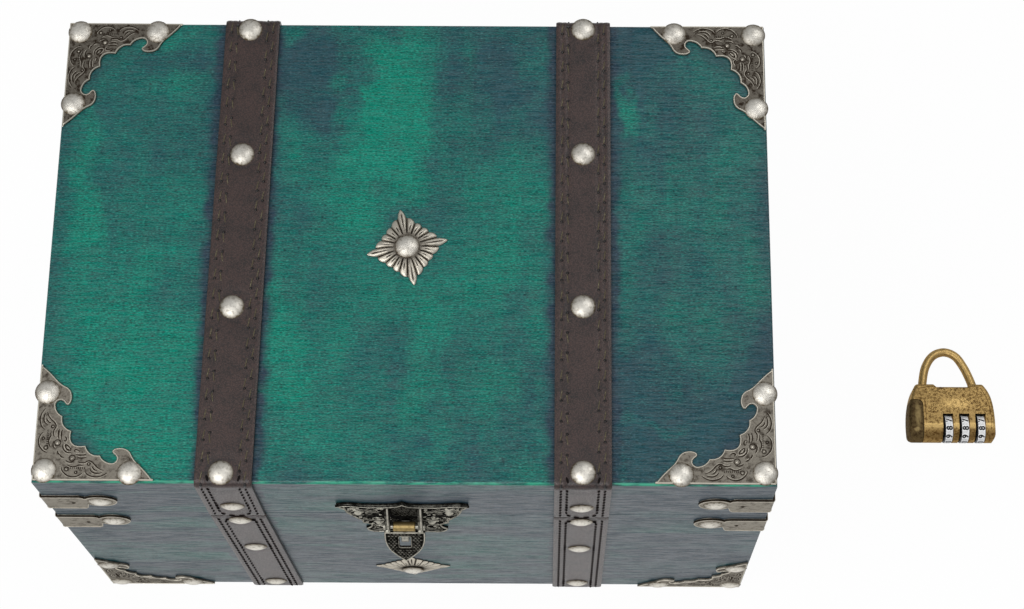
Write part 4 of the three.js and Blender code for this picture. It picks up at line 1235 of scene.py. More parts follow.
def corner_plate(wear):
    shape = Shape()
    own = sizes()
    thick = mm(own.plate_thickness)
    outline = plate_outline()
    shape.add(plate([outline], thick, PLATE_SOFT), wear)
    inwards, sink = PLATE_RIM
    edge_bead(shape, outline, inwards, thick - sink, mm(own.relief), 1.3)
    for line in PLATE_LINES:
        for points in (np.array(line), np.array(line)[:, ::-1]):
            engraved(shape, through(points, 5), thick)
    low, high = PLATE_TOOTH
    for tooth in PLATE_TEETH:
        line = np.linspace((tooth, low), (tooth + TOOTH_LEAN, high), 3)
        for points in (line, line[:, ::-1]):
            shape.bead(points, thick, TOOTH_RADIUS, 0.0, 5)
    for x, y, radius in PLATE_RINGS:
        for place in ((x, y), (y, x)):
            shape.bead(arc(place, radius, 0, 350, 14), thick - 0.1, 0.28, 0.05)
            shape.add(dome(radius * 0.55, 0.3, 10, 3), 0.75, at(*place, thick - 0.05))
    return shape


def trim(name, part, shape, place, body, heads, seed):
    """A bronze piece and the nails that hold it."""
    make_piece(name + part, shape, "aged_bronze", body, [name], place)
    nails = nail_heads([place @ head for head in heads], seed)
    make_piece(name + "_nails", nails, "nail_bronze", body)


class STRONGBOX_OT_corner_plates(Operator):
    """Scalloped corner plates with scrolls, on the lid and at the front's feet"""
    bl_idname = "strongbox.corner_plates"
    bl_label = "Corner plates"

    def execute(self, context):
        x, y = HALF_WIDTH, HALF_DEPTH
        places = {
            "lid_plate_front_left": ("lid", on("top", -x, -y, 0)),
            "lid_plate_front_right": ("lid", on("top", x, -y, 90)),
            "lid_plate_back_right": ("lid", on("top", x, y, 180)),
            "lid_plate_back_left": ("lid", on("top", -x, y, 270)),
            "front_plate_left": ("box", on("front", -x, 0, 0)),
            "front_plate_right": ("box", on("front", x, 0, 90)),
        }
        seat = mm(sizes().plate_thickness)
        for seed, (name, (body, place)) in enumerate(places.items()):
            shape = corner_plate(PLATE_WEAR_SHADED_BACK if "back" in name else PLATE_WEAR)
            heads = [at(*spot, seat) for spot in PLATE_NAILS[name]]
            trim(name, "_scrolls", shape, place, body, heads, seed + 20)
        return {"FINISHED"}


# Corner bands, which wrap the upright edge. Heights are from the nails
BAND_TOP = 5.85
BAND_LOW = -10.65
BAND_NAIL = 22.2
BAND_LOBE = 6.6
BAND_NECK = 15.5
BAND_PIN = 11.2
BAND_SOFT = 0.3
BAND_STEP = 1.6
BAND_RIM = 0.24
BAND_RIM_INWARDS = 0.7
BAND_RIM_SEAT = 0.1
# Dark line behind the upper rim: its radius, how far it is sunk and how far above the rim's middle
BAND_SHADE = (0.4, 0.1, 0.25)
BAND_PLACES = {"lid": ("lid", 149.9), "base": ("box", 118.8)}


def band_limits(distance):
    """The band's lower and upper edge at a distance from the box's corner."""
    lobe_start = BAND_NAIL + BAND_LOBE * math.cos(math.radians(150))
    if distance >= lobe_start:
        reach = math.sqrt(max(BAND_LOBE ** 2 - (distance - BAND_NAIL) ** 2, 0.0))
        return -reach, reach
    limits = []
    for start, level, sign in ((BAND_NECK - 1, BAND_LOW, -1), (BAND_NECK - 2, BAND_TOP, 1)):
        outline = curved((start, level), [((BAND_NECK + 1, level), (lobe_start, sign * BAND_LOBE / 2))])
        limits.append(np.interp(distance, *outline.T))
    return limits


def band_stations():
    """Distance along the band, place on the walls and outward normal, from the front to the side."""
    flat = np.arange(0.8, BAND_NECK - 2, BAND_STEP)
    lobe = BAND_NAIL + BAND_LOBE * np.sin(np.radians(np.linspace(0, 88, 12)[1:]))
    reach = [*flat, *np.linspace(BAND_NECK - 2, BAND_NAIL, 16), *lobe]
    front = [(-s, Vector((-s, 0, 0)), Vector((0, -1, 0))) for s in reversed(reach)]
    side = [(s, Vector((0, s, 0)), Vector((1, 0, 0))) for s in reach]
    turns = np.radians(np.linspace(0, 90, 7))
    corner = [(0, Vector((0, 0, 0)), Vector((math.sin(turn), -math.cos(turn), 0))) for turn in turns]
    return front + corner + side


def band():
    thick = mm(sizes().band_thickness)
    sections = []
    top_rim = []
    low_rim = []
    shade = []
    shade_radius, shade_sink, shade_rise = BAND_SHADE
    for distance, point, normal in band_stations():
        low, top = band_limits(abs(distance))
        soft = min(BAND_SOFT, (top - low) / 2.5)
        profile = [(low, 0), (low, thick - soft), (low + soft, thick), (top - soft, thick),
                   (top, thick - soft), (top, 0)]
        sections.append(np.array([point + normal * out + Vector((0, 0, z)) for z, out in profile]))
        inwards = BAND_RIM_INWARDS * soft + BAND_RIM_SEAT
        top_rim.append(point + normal * thick + Vector((0, 0, top - inwards)))
        low_rim.append(point + normal * thick + Vector((0, 0, low + inwards)))
        shade.append(top_rim[-1] + normal * (shade_sink - thick / 2) + Vector((0, 0, shade_rise)))
    shape = Shape().add(loft(sections), 0.55)
    shape.add(tube(np.array(top_rim + low_rim[::-1] + top_rim[:1]), BAND_RIM, 6), 1.0)
    shape.add(tube(np.array(shade), shade_radius, 6), -0.6)
    # A dark dot at each pin hole: painted shade of the hole.
    for place in (at(-BAND_PIN, 0, 0, 0, 90), at(0, BAND_PIN, 0, 90, 90)):
        pin = place @ at(0, (BAND_TOP + BAND_LOW) / 2, thick - 0.12)
        shape.add(dome(1.0, 0.5, 12, 3), -0.5, pin)
    return shape


class STRONGBOX_OT_bands(Operator):
    """Bands round the upright corners, above and below the seam"""
    bl_idname = "strongbox.bands"
    bl_label = "Corner bands"

    def execute(self, context):
        x, y = HALF_WIDTH, HALF_DEPTH
        corners = {
            "front_right": (x, -y, 0), "back_right": (x, y, 90),
            "back_left": (-x, y, 180), "front_left": (-x, -y, 270),
        }
        rim = band()
        seat = mm(sizes().band_thickness)
        heads = [at(-BAND_NAIL, -seat, 0, 0, 90), at(seat, BAND_NAIL, 0, 90, 90)]
        for part, (body, height) in BAND_PLACES.items():
            for seed, (corner, (at_x, at_y, turn)) in enumerate(corners.items()):
                place = at(at_x, at_y, height, turn)
                trim(f"{part}_band_{corner}", "_rim", rim, place, body, heads, seed + 40)
        return {"FINISHED"}


# Rosettes: body, face, place on it and turn
ROSETTES = {"lid_rosette": ("lid", "top", -1.3, -0.7, 11.4), "front_rosette": ("box", "front", -4, 37, 0)}
ROSETTE_REACH = 16.6
ROSETTE_PETALS = 20
ROSETTE_SEAT = (5.3, 1.5)
# How far each nail stands out of its seat
ROSETTE_PROUD = {"lid_rosette": 0, "front_rosette": 0.8}
SHANK_RADIUS = 1.2
SHANK_FOOT = 0.5
PETAL_POINTS = 14
# Rings of the petals, as shares of the way from the seat to the edge
PETAL_RINGS = (1.0, 0.985, 0.95, 0.88, 0.78, 0.66, 0.52, 0.36, 0.2, 0.08, 0.0)
PETAL_RISE = 0.75
PETAL_CROWN = 0.35
PETAL_GROOVE = 0.6
PETAL_VEIN = 0.35
PETAL_FALL = 0.4
LEAST_PETAL = 0.3


def petal_reach(turn):
    """Distance to the rosette's edge in a direction, and how far across its petal that direction is."""
    pitch = 2 * math.pi / ROSETTE_PETALS
    number = round(turn / pitch)
    ridge = number * pitch
    across = abs(turn - ridge) / (pitch / 2)
    diamond = ROSETTE_REACH / (abs(math.cos(turn)) + abs(math.sin(turn)))
    long = number % (ROSETTE_PETALS // 4) == 0
    if long:
        return ROSETTE_REACH * (1 - 0.27 * across ** 1.35), across, long
    return diamond * (0.94 - 0.07 * across ** 2), across, long


def petal_point(reach, across, long, share):
    """Distance, height and wear of a point of the petals."""
    seat_radius, seat_height = ROSETTE_SEAT
    groove = max(across - 0.6, 0.0) / 0.4
    vein = max(0.0, 1 - across / 0.24) * (0.25 < share < (0.8 if long else 0.6))
    crown = math.sqrt(max(0.0, 1 - across ** 2)) * math.sin(math.pi * min(share + 0.1, 1))
    height = seat_height * (1 - share) + PETAL_RISE * share + PETAL_CROWN * crown
    height -= PETAL_GROOVE * groove * min(1, share * 5) + PETAL_VEIN * vein
    height -= PETAL_FALL * max(0.0, share - 0.93) / 0.07
    lit = max(0.0, 1 - groove ** 1.5 - vein) * (0.4 + 0.6 * min(1, share * 2.2))
    # The outer edge is painted dark: a painted shadow round the rosette.
    wear = -0.3 if share > 0.99 else 1.5 * lit - 0.3
    return seat_radius + (reach - seat_radius) * share, max(height, LEAST_PETAL), wear


def rosette():
    count = ROSETTE_PETALS * PETAL_POINTS
    turns = np.arange(count) * 2 * math.pi / count
    reaches = [petal_reach(turn) for turn in turns]
    # The foot ring is painted dark too: part of the painted shadow round the rosette.
    rings = [[(reach, 0, 0.05) for reach, _, _ in reaches]]
    rings += [[petal_point(*reach, share) for reach in reaches] for share in PETAL_RINGS]
    sections = []
    for radius, height, _ in np.array(rings).transpose(0, 2, 1):
        sections.append(np.stack([radius * np.cos(turns), radius * np.sin(turns), height], axis=1))
    shape = Shape().add(loft(sections), np.array(rings)[:, :, 2].ravel())
    seat_radius, seat_height = ROSETTE_SEAT
    return shape.bead(arc((0, 0), seat_radius, 0, 360, 36), seat_height - 0.1, 0.3, 0.3)


class STRONGBOX_OT_rosettes(Operator):
    """Four pointed rosettes of narrow petals, each with a domed nail"""
    bl_idname = "strongbox.rosettes"
    bl_label = "Rosettes"

    def execute(self, context):
        petals = rosette()
        for seed, (name, (body, face, x, y, turn)) in enumerate(ROSETTES.items()):
            place = on(face, x, y, turn)
            make_piece(name + "_petals", petals, "aged_bronze", body, [name], place)
            seat = ROSETTE_SEAT[1] + ROSETTE_PROUD[name]
            head = nail_heads([place @ at(0, 0, seat)], seed + 60)
            if ROSETTE_PROUD[name]:
                head.add(rod(SHANK_RADIUS, SHANK_FOOT, seat, 16), 0.2, place)
            make_piece(name + "_head", head, "nail_bronze", body, [name + "_nail"])
        return {"FINISHED"}


# Hasp, drawn about its centre line with y = 0 at the seam
HASP_X = -2.5
PIN_OUT = 5.2
PIN_DROP = 1
LUG_X = 6.7
LUG_WIDTH = 2
LUG_RADIUS = 2.2
LUG_RISE = 11.2
LUG_HEAD = 1.7
TONGUE_LEAN = 25
TONGUE_HALF = 8.4
TONGUE_SHOULDER = 3.2
TONGUE_LENGTH = 22.2
SLOT_DROP = 9.5
SLOT_HALF = (2.3, 3.3)
STAPLE = {"out": 6.3, "middle": 2.45, "bar": 0.9, "width": 3.2, "soft": 0.3}
TONGUE_THICK = 1.0
TONGUE_NECK = 4.5
BARREL_RADIUS = 2.0
BARREL_BORE = 1.25
BARREL_HALF = 4.5
# Radius of the hasp pin's shaft and head, how far the head is bevelled, and its thickness
HASP_PIN = (0.95, 1.6, 0.4, 0.5)
UPPER_TACK = (18.5, 5)
LOWER_TACK = (10.8, -9.5)
LID_PLATE_TOP = [((1.6, 17.2), (4.5, 16.7)), ((13, 15.4), (19.5, 17.8)), ((23.6, 19), (26.6, 16.4))]
LID_PLATE_SIDE = [((26.2, 12.4), (23.9, 9.8)), ((23.8, 5.2), (21.6, 0.35))]
LID_PLATE_PEAK = (0, 20.3)
BASE_PLATE_START = (21, -0.35)
BASE_PLATE_CURVES = [
    ((19.8, -4.6), (17.6, -7.2)), ((18.4, -10), (17.4, -11.8)), ((13.4, -13.4), (14.8, -16.4)),
    ((15, -19.2), (17, -20.6)), ((17.2, -25.8), (12.6, -27)), ((7.4, -25.4), (4.6, -28.2)),
    ((2, -29.6), (0, -31)),
]
HASP_HOLES = [(11, -4.4, 1.9, 1.6), (10.6, -17.6, 1.9, 2.7)]
# Leaf scrolls of the right half: on the lid plate and on the base plate
LID_LEAVES = [
    [(9.4, 13.8), (12.6, 13.2), (14.6, 11.0), (13.8, 8.8), (11.8, 9.2), (12.0, 11.0)],
    [(9.4, 2.2), (10.2, 5.0), (13.0, 6.4), (15.2, 4.8), (14.4, 2.8), (12.8, 3.4)],
    [(16.2, 1.6), (18.4, 1.2), (20.4, 2.6), (21.8, 5.4), (22.6, 8.6)],
    [(15.6, 14.2), (17.4, 13.6), (18.6, 14.8), (21.0, 15.8), (23.4, 15.2), (24.2, 12.6), (23.0, 11.4)],
    [(9.2, 7.4), (10.8, 6.8), (13.4, 7.4), (15.4, 9.6)],
]
BASE_LEAVES = [
    [(6.2, -3.0), (7.4, -6.6), (10.6, -6.9), (13.6, -6.6), (16.4, -8.8)],
    [(15.2, -2.0), (16.8, -3.4), (16.4, -5.6), (14.6, -5.4), (14.4, -3.8)],
    [(7.6, -10.4), (8.6, -12.8), (11.8, -13.2), (13.0, -15.4), (12.8, -19.6), (14.6, -22.6)],
    [(7.2, -13.6), (7.6, -18.2), (9.0, -21.6), (12.6, -23.2), (14.0, -24.8), (12.2, -25.4), (11.4, -24.2)],
    [(4.2, -19.6), (4.4, -23.4), (6.6, -25.0), (8.4, -23.6), (7.2, -22.2)],
    [(2.4, -21.4), (2.0, -25.2), (0.9, -28.4)],
]


def both_sides(lines):
    for line in lines:
        points = np.array(line, dtype=float)
        yield points
        yield points * (-1, 1)


# Distance from scale to scale and from row to row, and the radius, height and tilt of a scale
SCALE_PITCH = 1.45
SCALE_ROWS = 1.16
SCALE_RADIUS = 0.812
SCALE_HEIGHT = 0.38
SCALE_TILT = 14
# How small a curl is at its inner end
SPIRAL_EYE = 0.18


def scales(shape, limits, inside, height):
    """Rows of small overlapping scales where a test of x and y says so."""
    solid = dome(SCALE_RADIUS, SCALE_HEIGHT, 9, 3)
    wear = np.linspace(-0.25, 0.6, len(solid[0]))
    (x0, x1), (y0, y1) = limits
    for row, y in enumerate(np.arange(y0, y1, SCALE_ROWS)):
        for x in np.arange(x0 + (row % 2) * SCALE_PITCH / 2, x1, SCALE_PITCH):
            if inside(x, y):
                shape.add(solid, wear, at(x, y, height - 0.05, 0, SCALE_TILT))


def spiral(centre, size, start, turns, steps=16):
    angles = np.radians(start) + np.linspace(0, turns * 2 * math.pi, steps)
    radii = size * np.linspace(1, SPIRAL_EYE, steps)
    return np.stack([centre[0] + radii * np.cos(angles), centre[1] + radii * np.sin(angles)], axis=1)


FILIGREE_TRIES = 6000
FILIGREE_TURNS = (0.9, 1.4)
FILIGREE_SIZES = (0.46, 0.75)


def filigree(shape, limits, inside, height, spacing, seed, bead=0.15):
    """Small curls of random turn where a test of x and y says so. Two of three are dark."""
    drawn = random.Random(seed)
    centres = []
    (x0, x1), (y0, y1) = limits
    for _ in range(FILIGREE_TRIES):
        x, y = drawn.uniform(x0, x1), drawn.uniform(y0, y1)
        if inside(x, y) and all(math.hypot(x - a, y - b) > spacing for a, b in centres):
            centres.append((x, y))
    for number, centre in enumerate(centres):
        turns = drawn.choice((-1, 1)) * drawn.uniform(*FILIGREE_TURNS)
        size = spacing * drawn.uniform(*FILIGREE_SIZES)
        path = lifted(spiral(centre, size, drawn.uniform(0, 360), turns), height)
        shape.add(tube(path, tapered(len(path), bead, 0.5), 5), 1.1 if number % 3 == 0 else 0.0)


def surrounds(outline, x, y):
    """Whether a closed outline goes round a place."""
    ahead = np.roll(outline, -1, axis=0)
    spans = (outline[:, 1] > y) != (ahead[:, 1] > y)
    rise = np.where(spans, ahead[:, 1] - outline[:, 1], 1.0)
    crossing = outline[:, 0] + (y - outline[:, 1]) / rise * (ahead[:, 0] - outline[:, 0])
    return np.count_nonzero(spans & (crossing > x)) % 2 == 1


def ring_outline(x, y, half_width, half_height, steps=16):
    return arc((0, 0), 1, 0, 360, steps)[:-1] * (half_width, half_height) + (x, y)


def crescent_outline(x, y):
    return np.vstack([arc((x, y), 5, 25, 155, 10), arc((x, y), 3.4, 155, 25, 10)])


def lug(shape, sign):
    """A lug out of the lid plate that comes down round the pin."""
    lean = math.degrees(math.atan2(PIN_OUT + LUG_RADIUS - LUG_HEAD, LUG_RISE + PIN_DROP))
    outline = np.vstack([
        [(0.5, LUG_RISE), (LUG_HEAD, LUG_RISE - 0.7)],
        arc((PIN_OUT, -PIN_DROP), LUG_RADIUS, lean, -153, 22),
        [(1, 1.4), (0.5, 1.4)],
    ])
    solid = plate([outline], LUG_WIDTH, 0.55, 3)
    stand = Matrix(((0, 0, -1, sign * LUG_X + LUG_WIDTH / 2), (0, 1, 0, 0), (1, 0, 0, 0), (0, 0, 0, 1)))
    height = solid[0][:, 0]
    shape.add(solid, np.clip(height / 16, 0, 0.5), stand)
    # A bright bar down the lug: a painted highlight.
    bar = [(sign * LUG_X, y, z) for y, z in ((LUG_RISE + 1.2, 1.2), (6, 4.6), (1.5, 6.6), (-1.2, 7.2))]
    shape.add(tube(through(bar, 4) + (0.35, 0, 0), 0.4, 8), 0.8)
    shape.add(dome(1.1, 1.0, 12, 4), 0.85, at(sign * LUG_X, -0.6, 7.2))


def pierced(outline, holes, leaves, first=0):
    """A hasp plate with beads round it and its holes, and leaf scrolls. The outer bead starts at a point."""
    thick = mm(sizes().plate_thickness)
    shape = Shape().add(plate([outline, *holes], thick, PLATE_SOFT), 0.05)
    rim = np.roll(inset(distinct(outline), 0.45), first, axis=0)
    shape.bead(rim, thick, mm(sizes().relief), 0.8)
    for hole in holes:
        edge_bead(shape, hole, -0.3, thick, 0.26, 0.7)
    for points in both_sides(leaves):
        path = through(points, 5)
        shape.bead(path, thick, tapered(len(path), 0.5), 0.35)
    return shape


def lid_plate():
    thick = mm(sizes().plate_thickness)
    half = curved(LID_PLATE_PEAK, LID_PLATE_TOP + LID_PLATE_SIDE)
    outline = mirrored(half)
    holes = [crescent_outline(sign * UPPER_TACK[0], UPPER_TACK[1]) for sign in (-1, 1)]
    shape = pierced(outline, holes, LID_LEAVES, len(half))
    upper = curved(LID_PLATE_PEAK, LID_PLATE_TOP)
    order = np.vstack([(upper * (-1, 1))[::-1], upper[1:]])
    # Along the top edge, a dark bead is a painted shadow and a thin bright bead on it a painted highlight.
    shape.bead(order - (0, 0.75), thick + 0.1, 0.62, 0.1, 8)
    shape.bead(order - (0, 0.85), thick + 0.6, 0.22, 1.0)
    scales(shape, ((-5.2, 5.4), (2.0, 16.0)), lambda x, y: abs(x) < 5.2 - max(0, y - 11) * 0.8, thick)
    field = inset(distinct(outline), 1.4)
    filigree(shape, ((-25, 25), (1, 18)), lambda x, y: abs(x) > 8.3 and surrounds(field, x, y), thick,
             1.5, 5, 0.2)
    for sign in (-1, 1):
        lug(shape, sign)
    return shape


def base_plate():
    thick = mm(sizes().plate_thickness)
    outline = mirrored(curved(BASE_PLATE_START, BASE_PLATE_CURVES))
    holes = [ring_outline(sign * x, y, w, h) for x, y, w, h in HASP_HOLES for sign in (-1, 1)]
    shape = pierced(outline, holes, BASE_LEAVES)
    scales(shape, ((-5.0, 5.2), (-18.0, -4.0)), lambda x, y: abs(x) > 2.2, thick)
    field = inset(distinct(outline), 1.4)
    filigree(shape, ((-20, 20), (-20, -1)), lambda x, y: abs(x) > 6.5 and surrounds(field, x, y), thick,
             1.5, 6, 0.2)
    staple(shape)
    return shape


def staple(shape):
    """An upright flat eye. Its bar's middle line leaves the plate, turns and comes back."""
    middle, out, soft = STAPLE["middle"], STAPLE["out"], STAPLE["soft"]
    half_bar, half_width = STAPLE["bar"] / 2, STAPLE["width"] / 2
    y = -PIN_DROP - SLOT_DROP
    normals = [(math.cos(t), math.sin(t)) for t in np.radians(np.linspace(-90, 90, 15))]
    line = [(out + middle * n_out, middle * n_up) for n_out, n_up in normals]
    line = [(0.5, -middle), *line, (0.5, middle)]
    normals = [(0, -1), *normals, (0, 1)]
    profile = [(half_width - soft, half_bar), (half_width, half_bar - soft), (half_width, soft - half_bar),
               (half_width - soft, -half_bar)]
    profile += [(-x, n) for x, n in reversed(profile)]
    sections = []
    for (reach, rise), (n_out, n_up) in zip(line, normals):
        sections.append(np.array([(x, y + rise + n * n_up, reach + n * n_out) for x, n in profile]))
    shape.add(loft(sections), 0.75)


def tongue():
    half = TONGUE_HALF
    shoulder, end = -TONGUE_SHOULDER, -TONGUE_LENGTH
    outline = mirrored(curved((half - 0.3, shoulder), [
        ((half, shoulder - 0.2), (half, shoulder - 1.6)), ((half + 0.3, end + 9.6), (4.9, end + 5.1)),
        ((2.45, end + 2.2), (0, end)),
    ]))
    slot_x, slot_y = SLOT_HALF
    corner = 0.5
    slot = np.vstack([
        arc((sx * (slot_x - corner), sy * (slot_y - corner) - SLOT_DROP), corner, start, start + 90, 4)
        for sx, sy, start in ((1, 1, 0), (-1, 1, 90), (-1, -1, 180), (1, -1, 270))
    ])
    face = TONGUE_THICK / 2
    shape = Shape().add(plate([outline, slot], TONGUE_THICK, PLATE_SOFT), 0.05, at(0, 0, -face))
    edge_bead(shape, outline, 0.4, face - 0.05, 0.3, 0.85)
    edge_bead(shape, slot, -0.3, face, 0.2, 0.5)
    neck = (-TONGUE_NECK, shoulder - 1, 0.05 - face), (TONGUE_NECK, -1.2, face - 0.05)
    shape.add(block(*neck), 0.25)

    def inside(x, y):
        limit = half - 1.6 if y > end + 9 else (half - 1.6) * (y - end - 1.5) / 7.5
        return abs(x) < limit and not (abs(x) < slot_x + 1.2 and abs(y + SLOT_DROP) < slot_y + 1.2)

    scales(shape, ((-7.2, 7.2), (end + 1.5, shoulder - 0.9)), inside, face)
    return shape


def bush(bore, radius, low, high, sides, soft=0.25, between=()):
    """A ring about Z with bevelled edges and, if wanted, more points on its rim."""
    rim = [(radius, z) for z in (low + soft, *between, high - soft)]
    return turned_ring([(bore, low), (radius - soft, low), *rim, (radius - soft, high), (bore, high)], sides)


def headed_pin(half, shaft, head, soft, thick):
    """A pin about Z with a head at both ends."""
    end = [(shaft, half), (head, half), (head, half + thick), (head - soft, half + thick + 0.2)]
    return lathe([(radius, -z) for radius, z in reversed(end)] + end, 20)


class STRONGBOX_OT_hasp(Operator):
    """Hasp: pierced plates, lugs, pin, tongue and staple"""
    bl_idname = "strongbox.hasp"
    bl_label = "Hasp"

    def execute(self, context):
        place = on("front", HASP_X, SEAM)
        pin_place = place @ at(0, -PIN_DROP, PIN_OUT)
        lean = pin_place @ at(0, 0, 0, 0, -TONGUE_LEAN)
        dark = "black_bronze"
        make_piece("hasp_lid_leaf_work", lid_plate(), dark, "lid", ["hasp_lid_plate"], place)
        make_piece("hasp_base_leaf_work", base_plate(), dark, "box", ["hasp_base_plate"], place)
        make_piece("hasp_tongue_scales", tongue(), dark, "tongue", ["hasp_tongue"], lean)
        barrel = Shape().add(bush(BARREL_BORE, BARREL_RADIUS, -BARREL_HALF, BARREL_HALF, 28), 0.7, ALONG_X)
        make_piece("hasp_tongue_barrel", barrel, "dull_brass", "tongue", [], lean)
        half = LUG_X + LUG_WIDTH / 2 + 0.1
        pin = Shape().add(headed_pin(half, *HASP_PIN), 0.8, ALONG_X)
        make_piece("hasp_pin_headed", pin, dark, "lid", ["hasp_pin"], pin_place)
        seat = mm(sizes().plate_thickness)
        for side, sign in SIDES.items():
            for row, body, (x, y) in (("upper", "lid", UPPER_TACK), ("lower", "box", LOWER_TACK)):
                node = f"hasp_tack_{row}_{side}"
                make_piece(node + "_head", tack_heads([at(sign * x, y, seat)]), dark, body, [node], place)
        return {"FINISHED"}


# Hinges on the back
HINGE_WIDTH = 24
HINGE_KNUCKLES = 5
HINGE_GAP = 0.3
HINGE_LEAF = (18, 1.0)
HINGE_TACK = (7, 11.5)
HINGE_BORE = 1.4
HINGE_RADIUS = 2.2
# Radius of the hinge pins' shaft and head, how far the head is bevelled, and its thickness
HINGE_PIN = (1.1, 1.8, 0.3, 0.4)
HINGE_OUT = 2.4


def hinge_leaf(up):
    """A leaf with its knuckles. x = 0 is the middle, y = 0 the pin's height and z = 0 the wall."""
    half = HINGE_WIDTH / 2
    step = HINGE_WIDTH / HINGE_KNUCKLES
    height, thick = HINGE_LEAF
    clear = HINGE_RADIUS + HINGE_GAP
    sign = 1 if up else -1
    corners = [(-half, clear), (half, clear), (half, height - 1), (half - 1, height), (1 - half, height),
               (-half, height - 1)]
    shape = Shape().add(plate([np.array(corners) * (1, sign)], thick, PLATE_SOFT), 0.45)
    root_low, root_high = (1.6, clear) if up else (-clear, -1.6)
    for index in range(1 if up else 0, HINGE_KNUCKLES, 2):
        low = -half + index * step + HINGE_GAP / 2
        high = -half + (index + 1) * step - HINGE_GAP / 2
        shape.add(bush(HINGE_BORE, HINGE_RADIUS, low, high, 24), 0.8, at(0, 0, HINGE_OUT) @ ALONG_X)
        shape.add(block((low, root_low, 0), (high, root_high, thick)), 0.4)
    x, rise = HINGE_TACK
    tacks = tack_heads([at(side * x, sign * rise, thick) for side in (-1, 1)])
    return shape.add(tacks.joined(), np.concatenate(tacks.wear))


class STRONGBOX_OT_hinges(Operator):
    """Butt hinges between the straps and the bands on the back"""
    bl_idname = "strongbox.hinges"
    bl_label = "Hinges"

    def execute(self, context):
        metal = "aged_bronze"
        pin = Shape().add(headed_pin(HINGE_WIDTH / 2 + 0.1, *HINGE_PIN), 0.7, at(0, 0, HINGE_OUT) @ ALONG_X)
        for side in SIDES:
            low, high = extent(f"hinge_pin_{side}")
            place = on("back", -(low[0] + high[0]) / 2, (low[2] + high[2]) / 2)
            for body, part, up in (("lid", "lid", True), ("box", "base", False)):
                node = f"hinge_{part}_leaf_{side}"
                make_piece(node + "_rolled", hinge_leaf(up), metal, body, [node], place)
            make_piece(f"hinge_pin_{side}_headed", pin, metal, "box", [f"hinge_pin_{side}"], place)
        return {"FINISHED"}


# Padlock: x across, y from its lower edge to the shackle, z from its back to its face
LOCK_LOW, LOCK_HIGH = extent("padlock_front")
LOCK_THICK = LOCK_HIGH[2]
LOCK_MIDDLE = LOCK_THICK / 2
LOCK_HALF = 20.7
LOCK_SHOULDER = 26.7
LOCK_PLACE = at(LOCK_HIGH[0] - LOCK_HALF, LOCK_LOW[1], 0)
LOCK_EDGE = 1.6
LOCK_GAP = 0.3
WINDOW_TOP = 12
# Reach, shoulder and lower corner of the case's right and left half
LOCK_SIDES = {1: (19.4, 15.3, 3.0), -1: (20.7, 17.6, 5.0)}
DIAL_X = (-2.5, 5.05, 12.6)
DIAL_RADIUS = 6.5
DIAL_WIDTH = 4
DIAL_Y = 6.3
DIAL_Z = 7.4
DIAL_BORE = 1.8
SHACKLE_ROUTE = [
    (-13.2, 23.4), (-12.6, 29.4), (-10.9, 36.8), (-7.2, 42.4), (-1.8, 44.4), (3.4, 42.4), (6.9, 37.4),
    (9.6, 31.2), (12.1, 23.4),
]
SHACKLE_RADIUS = 2.0
SHACKLE_BORE = 1.3
EYE_RADIUS = 2.5
EYE_SOFT = 0.3
# Room for the shackle's eye, to its left and below it
EYE_ROOM = (4.5, 3.1)
# Radius, start and end of the hole that takes the shackle's toe
TOE_HOLE = (2.5, -0.6, 8)
PIVOT_RADIUS = 1
PIVOT_INSET = 1.2
SPINDLE_RADIUS = 1.5
SPINDLE_ENDS = (-6, 4.4)
SLIDER = {"x": -14.3, "y": 18.7, "corner": 3}
SLIDER_BAR = {"reach": -8, "y": 14.4, "height": 3.4, "thickness": 3.2}
LOCK_CREASE = 30


def case_outline():
    top, low = LOCK_SHOULDER, -0.4
    halves = []
    for side, (reach, shoulder, corner) in LOCK_SIDES.items():
        curves = [
            ((4, low), (reach - corner, low)), ((reach, low), (reach, corner)),
            ((reach + 0.3, 12), (reach - 0.7, 17.5)), ((reach - 1.6, 22.5), (shoulder, top - 1.2)),
            ((shoulder - 0.6, top), (shoulder - 1.8, top)),
        ]
        half = np.vstack([curved((0, low), curves, 9), [(8.6, top), (7.1, top - 1.3)]])
        halves.append(half * (side, 1))
    return np.vstack([halves[0], halves[1][::-1]])


def swept(outline, low, high):
    """A bar along X from an outline of y and z."""
    return loft([np.array([(x, y, z) for y, z in outline]) for x in (low, high)])


def case_blank():
    """The case's outline with rounded edges, and a round lower edge as thick as the case."""
    body = plate([case_outline()], LOCK_THICK, LOCK_EDGE, 4)
    high, wide = 2 * LOCK_SHOULDER, 1.5 * LOCK_HALF
    nose = [(LOCK_MIDDLE, -2), (high, -2), (high, LOCK_THICK + 2), (LOCK_MIDDLE, LOCK_THICK + 2)]
    nose += [(LOCK_MIDDLE - LOCK_MIDDLE * math.sin(t), LOCK_MIDDLE + LOCK_MIDDLE * math.cos(t))
             for t in np.radians(np.linspace(2, 178, 33))]
    return carve(body, ("INTERSECT", swept(nose, -wide, wide)))


def slider_region(grow):
    """The lower left corner of the case, with a rounded inner corner."""
    x, y, corner = SLIDER["x"] + grow, SLIDER["y"] + grow, SLIDER["corner"]
    far = -2 * LOCK_HALF
    bend = curved((x, y - corner), [((x, y), (x - corner, y))])
    outline = np.vstack([[(far, -1), (x, -1)], bend, [(far, y)]])
    return loft([lifted(outline, z) for z in (-1, LOCK_THICK + 1)])


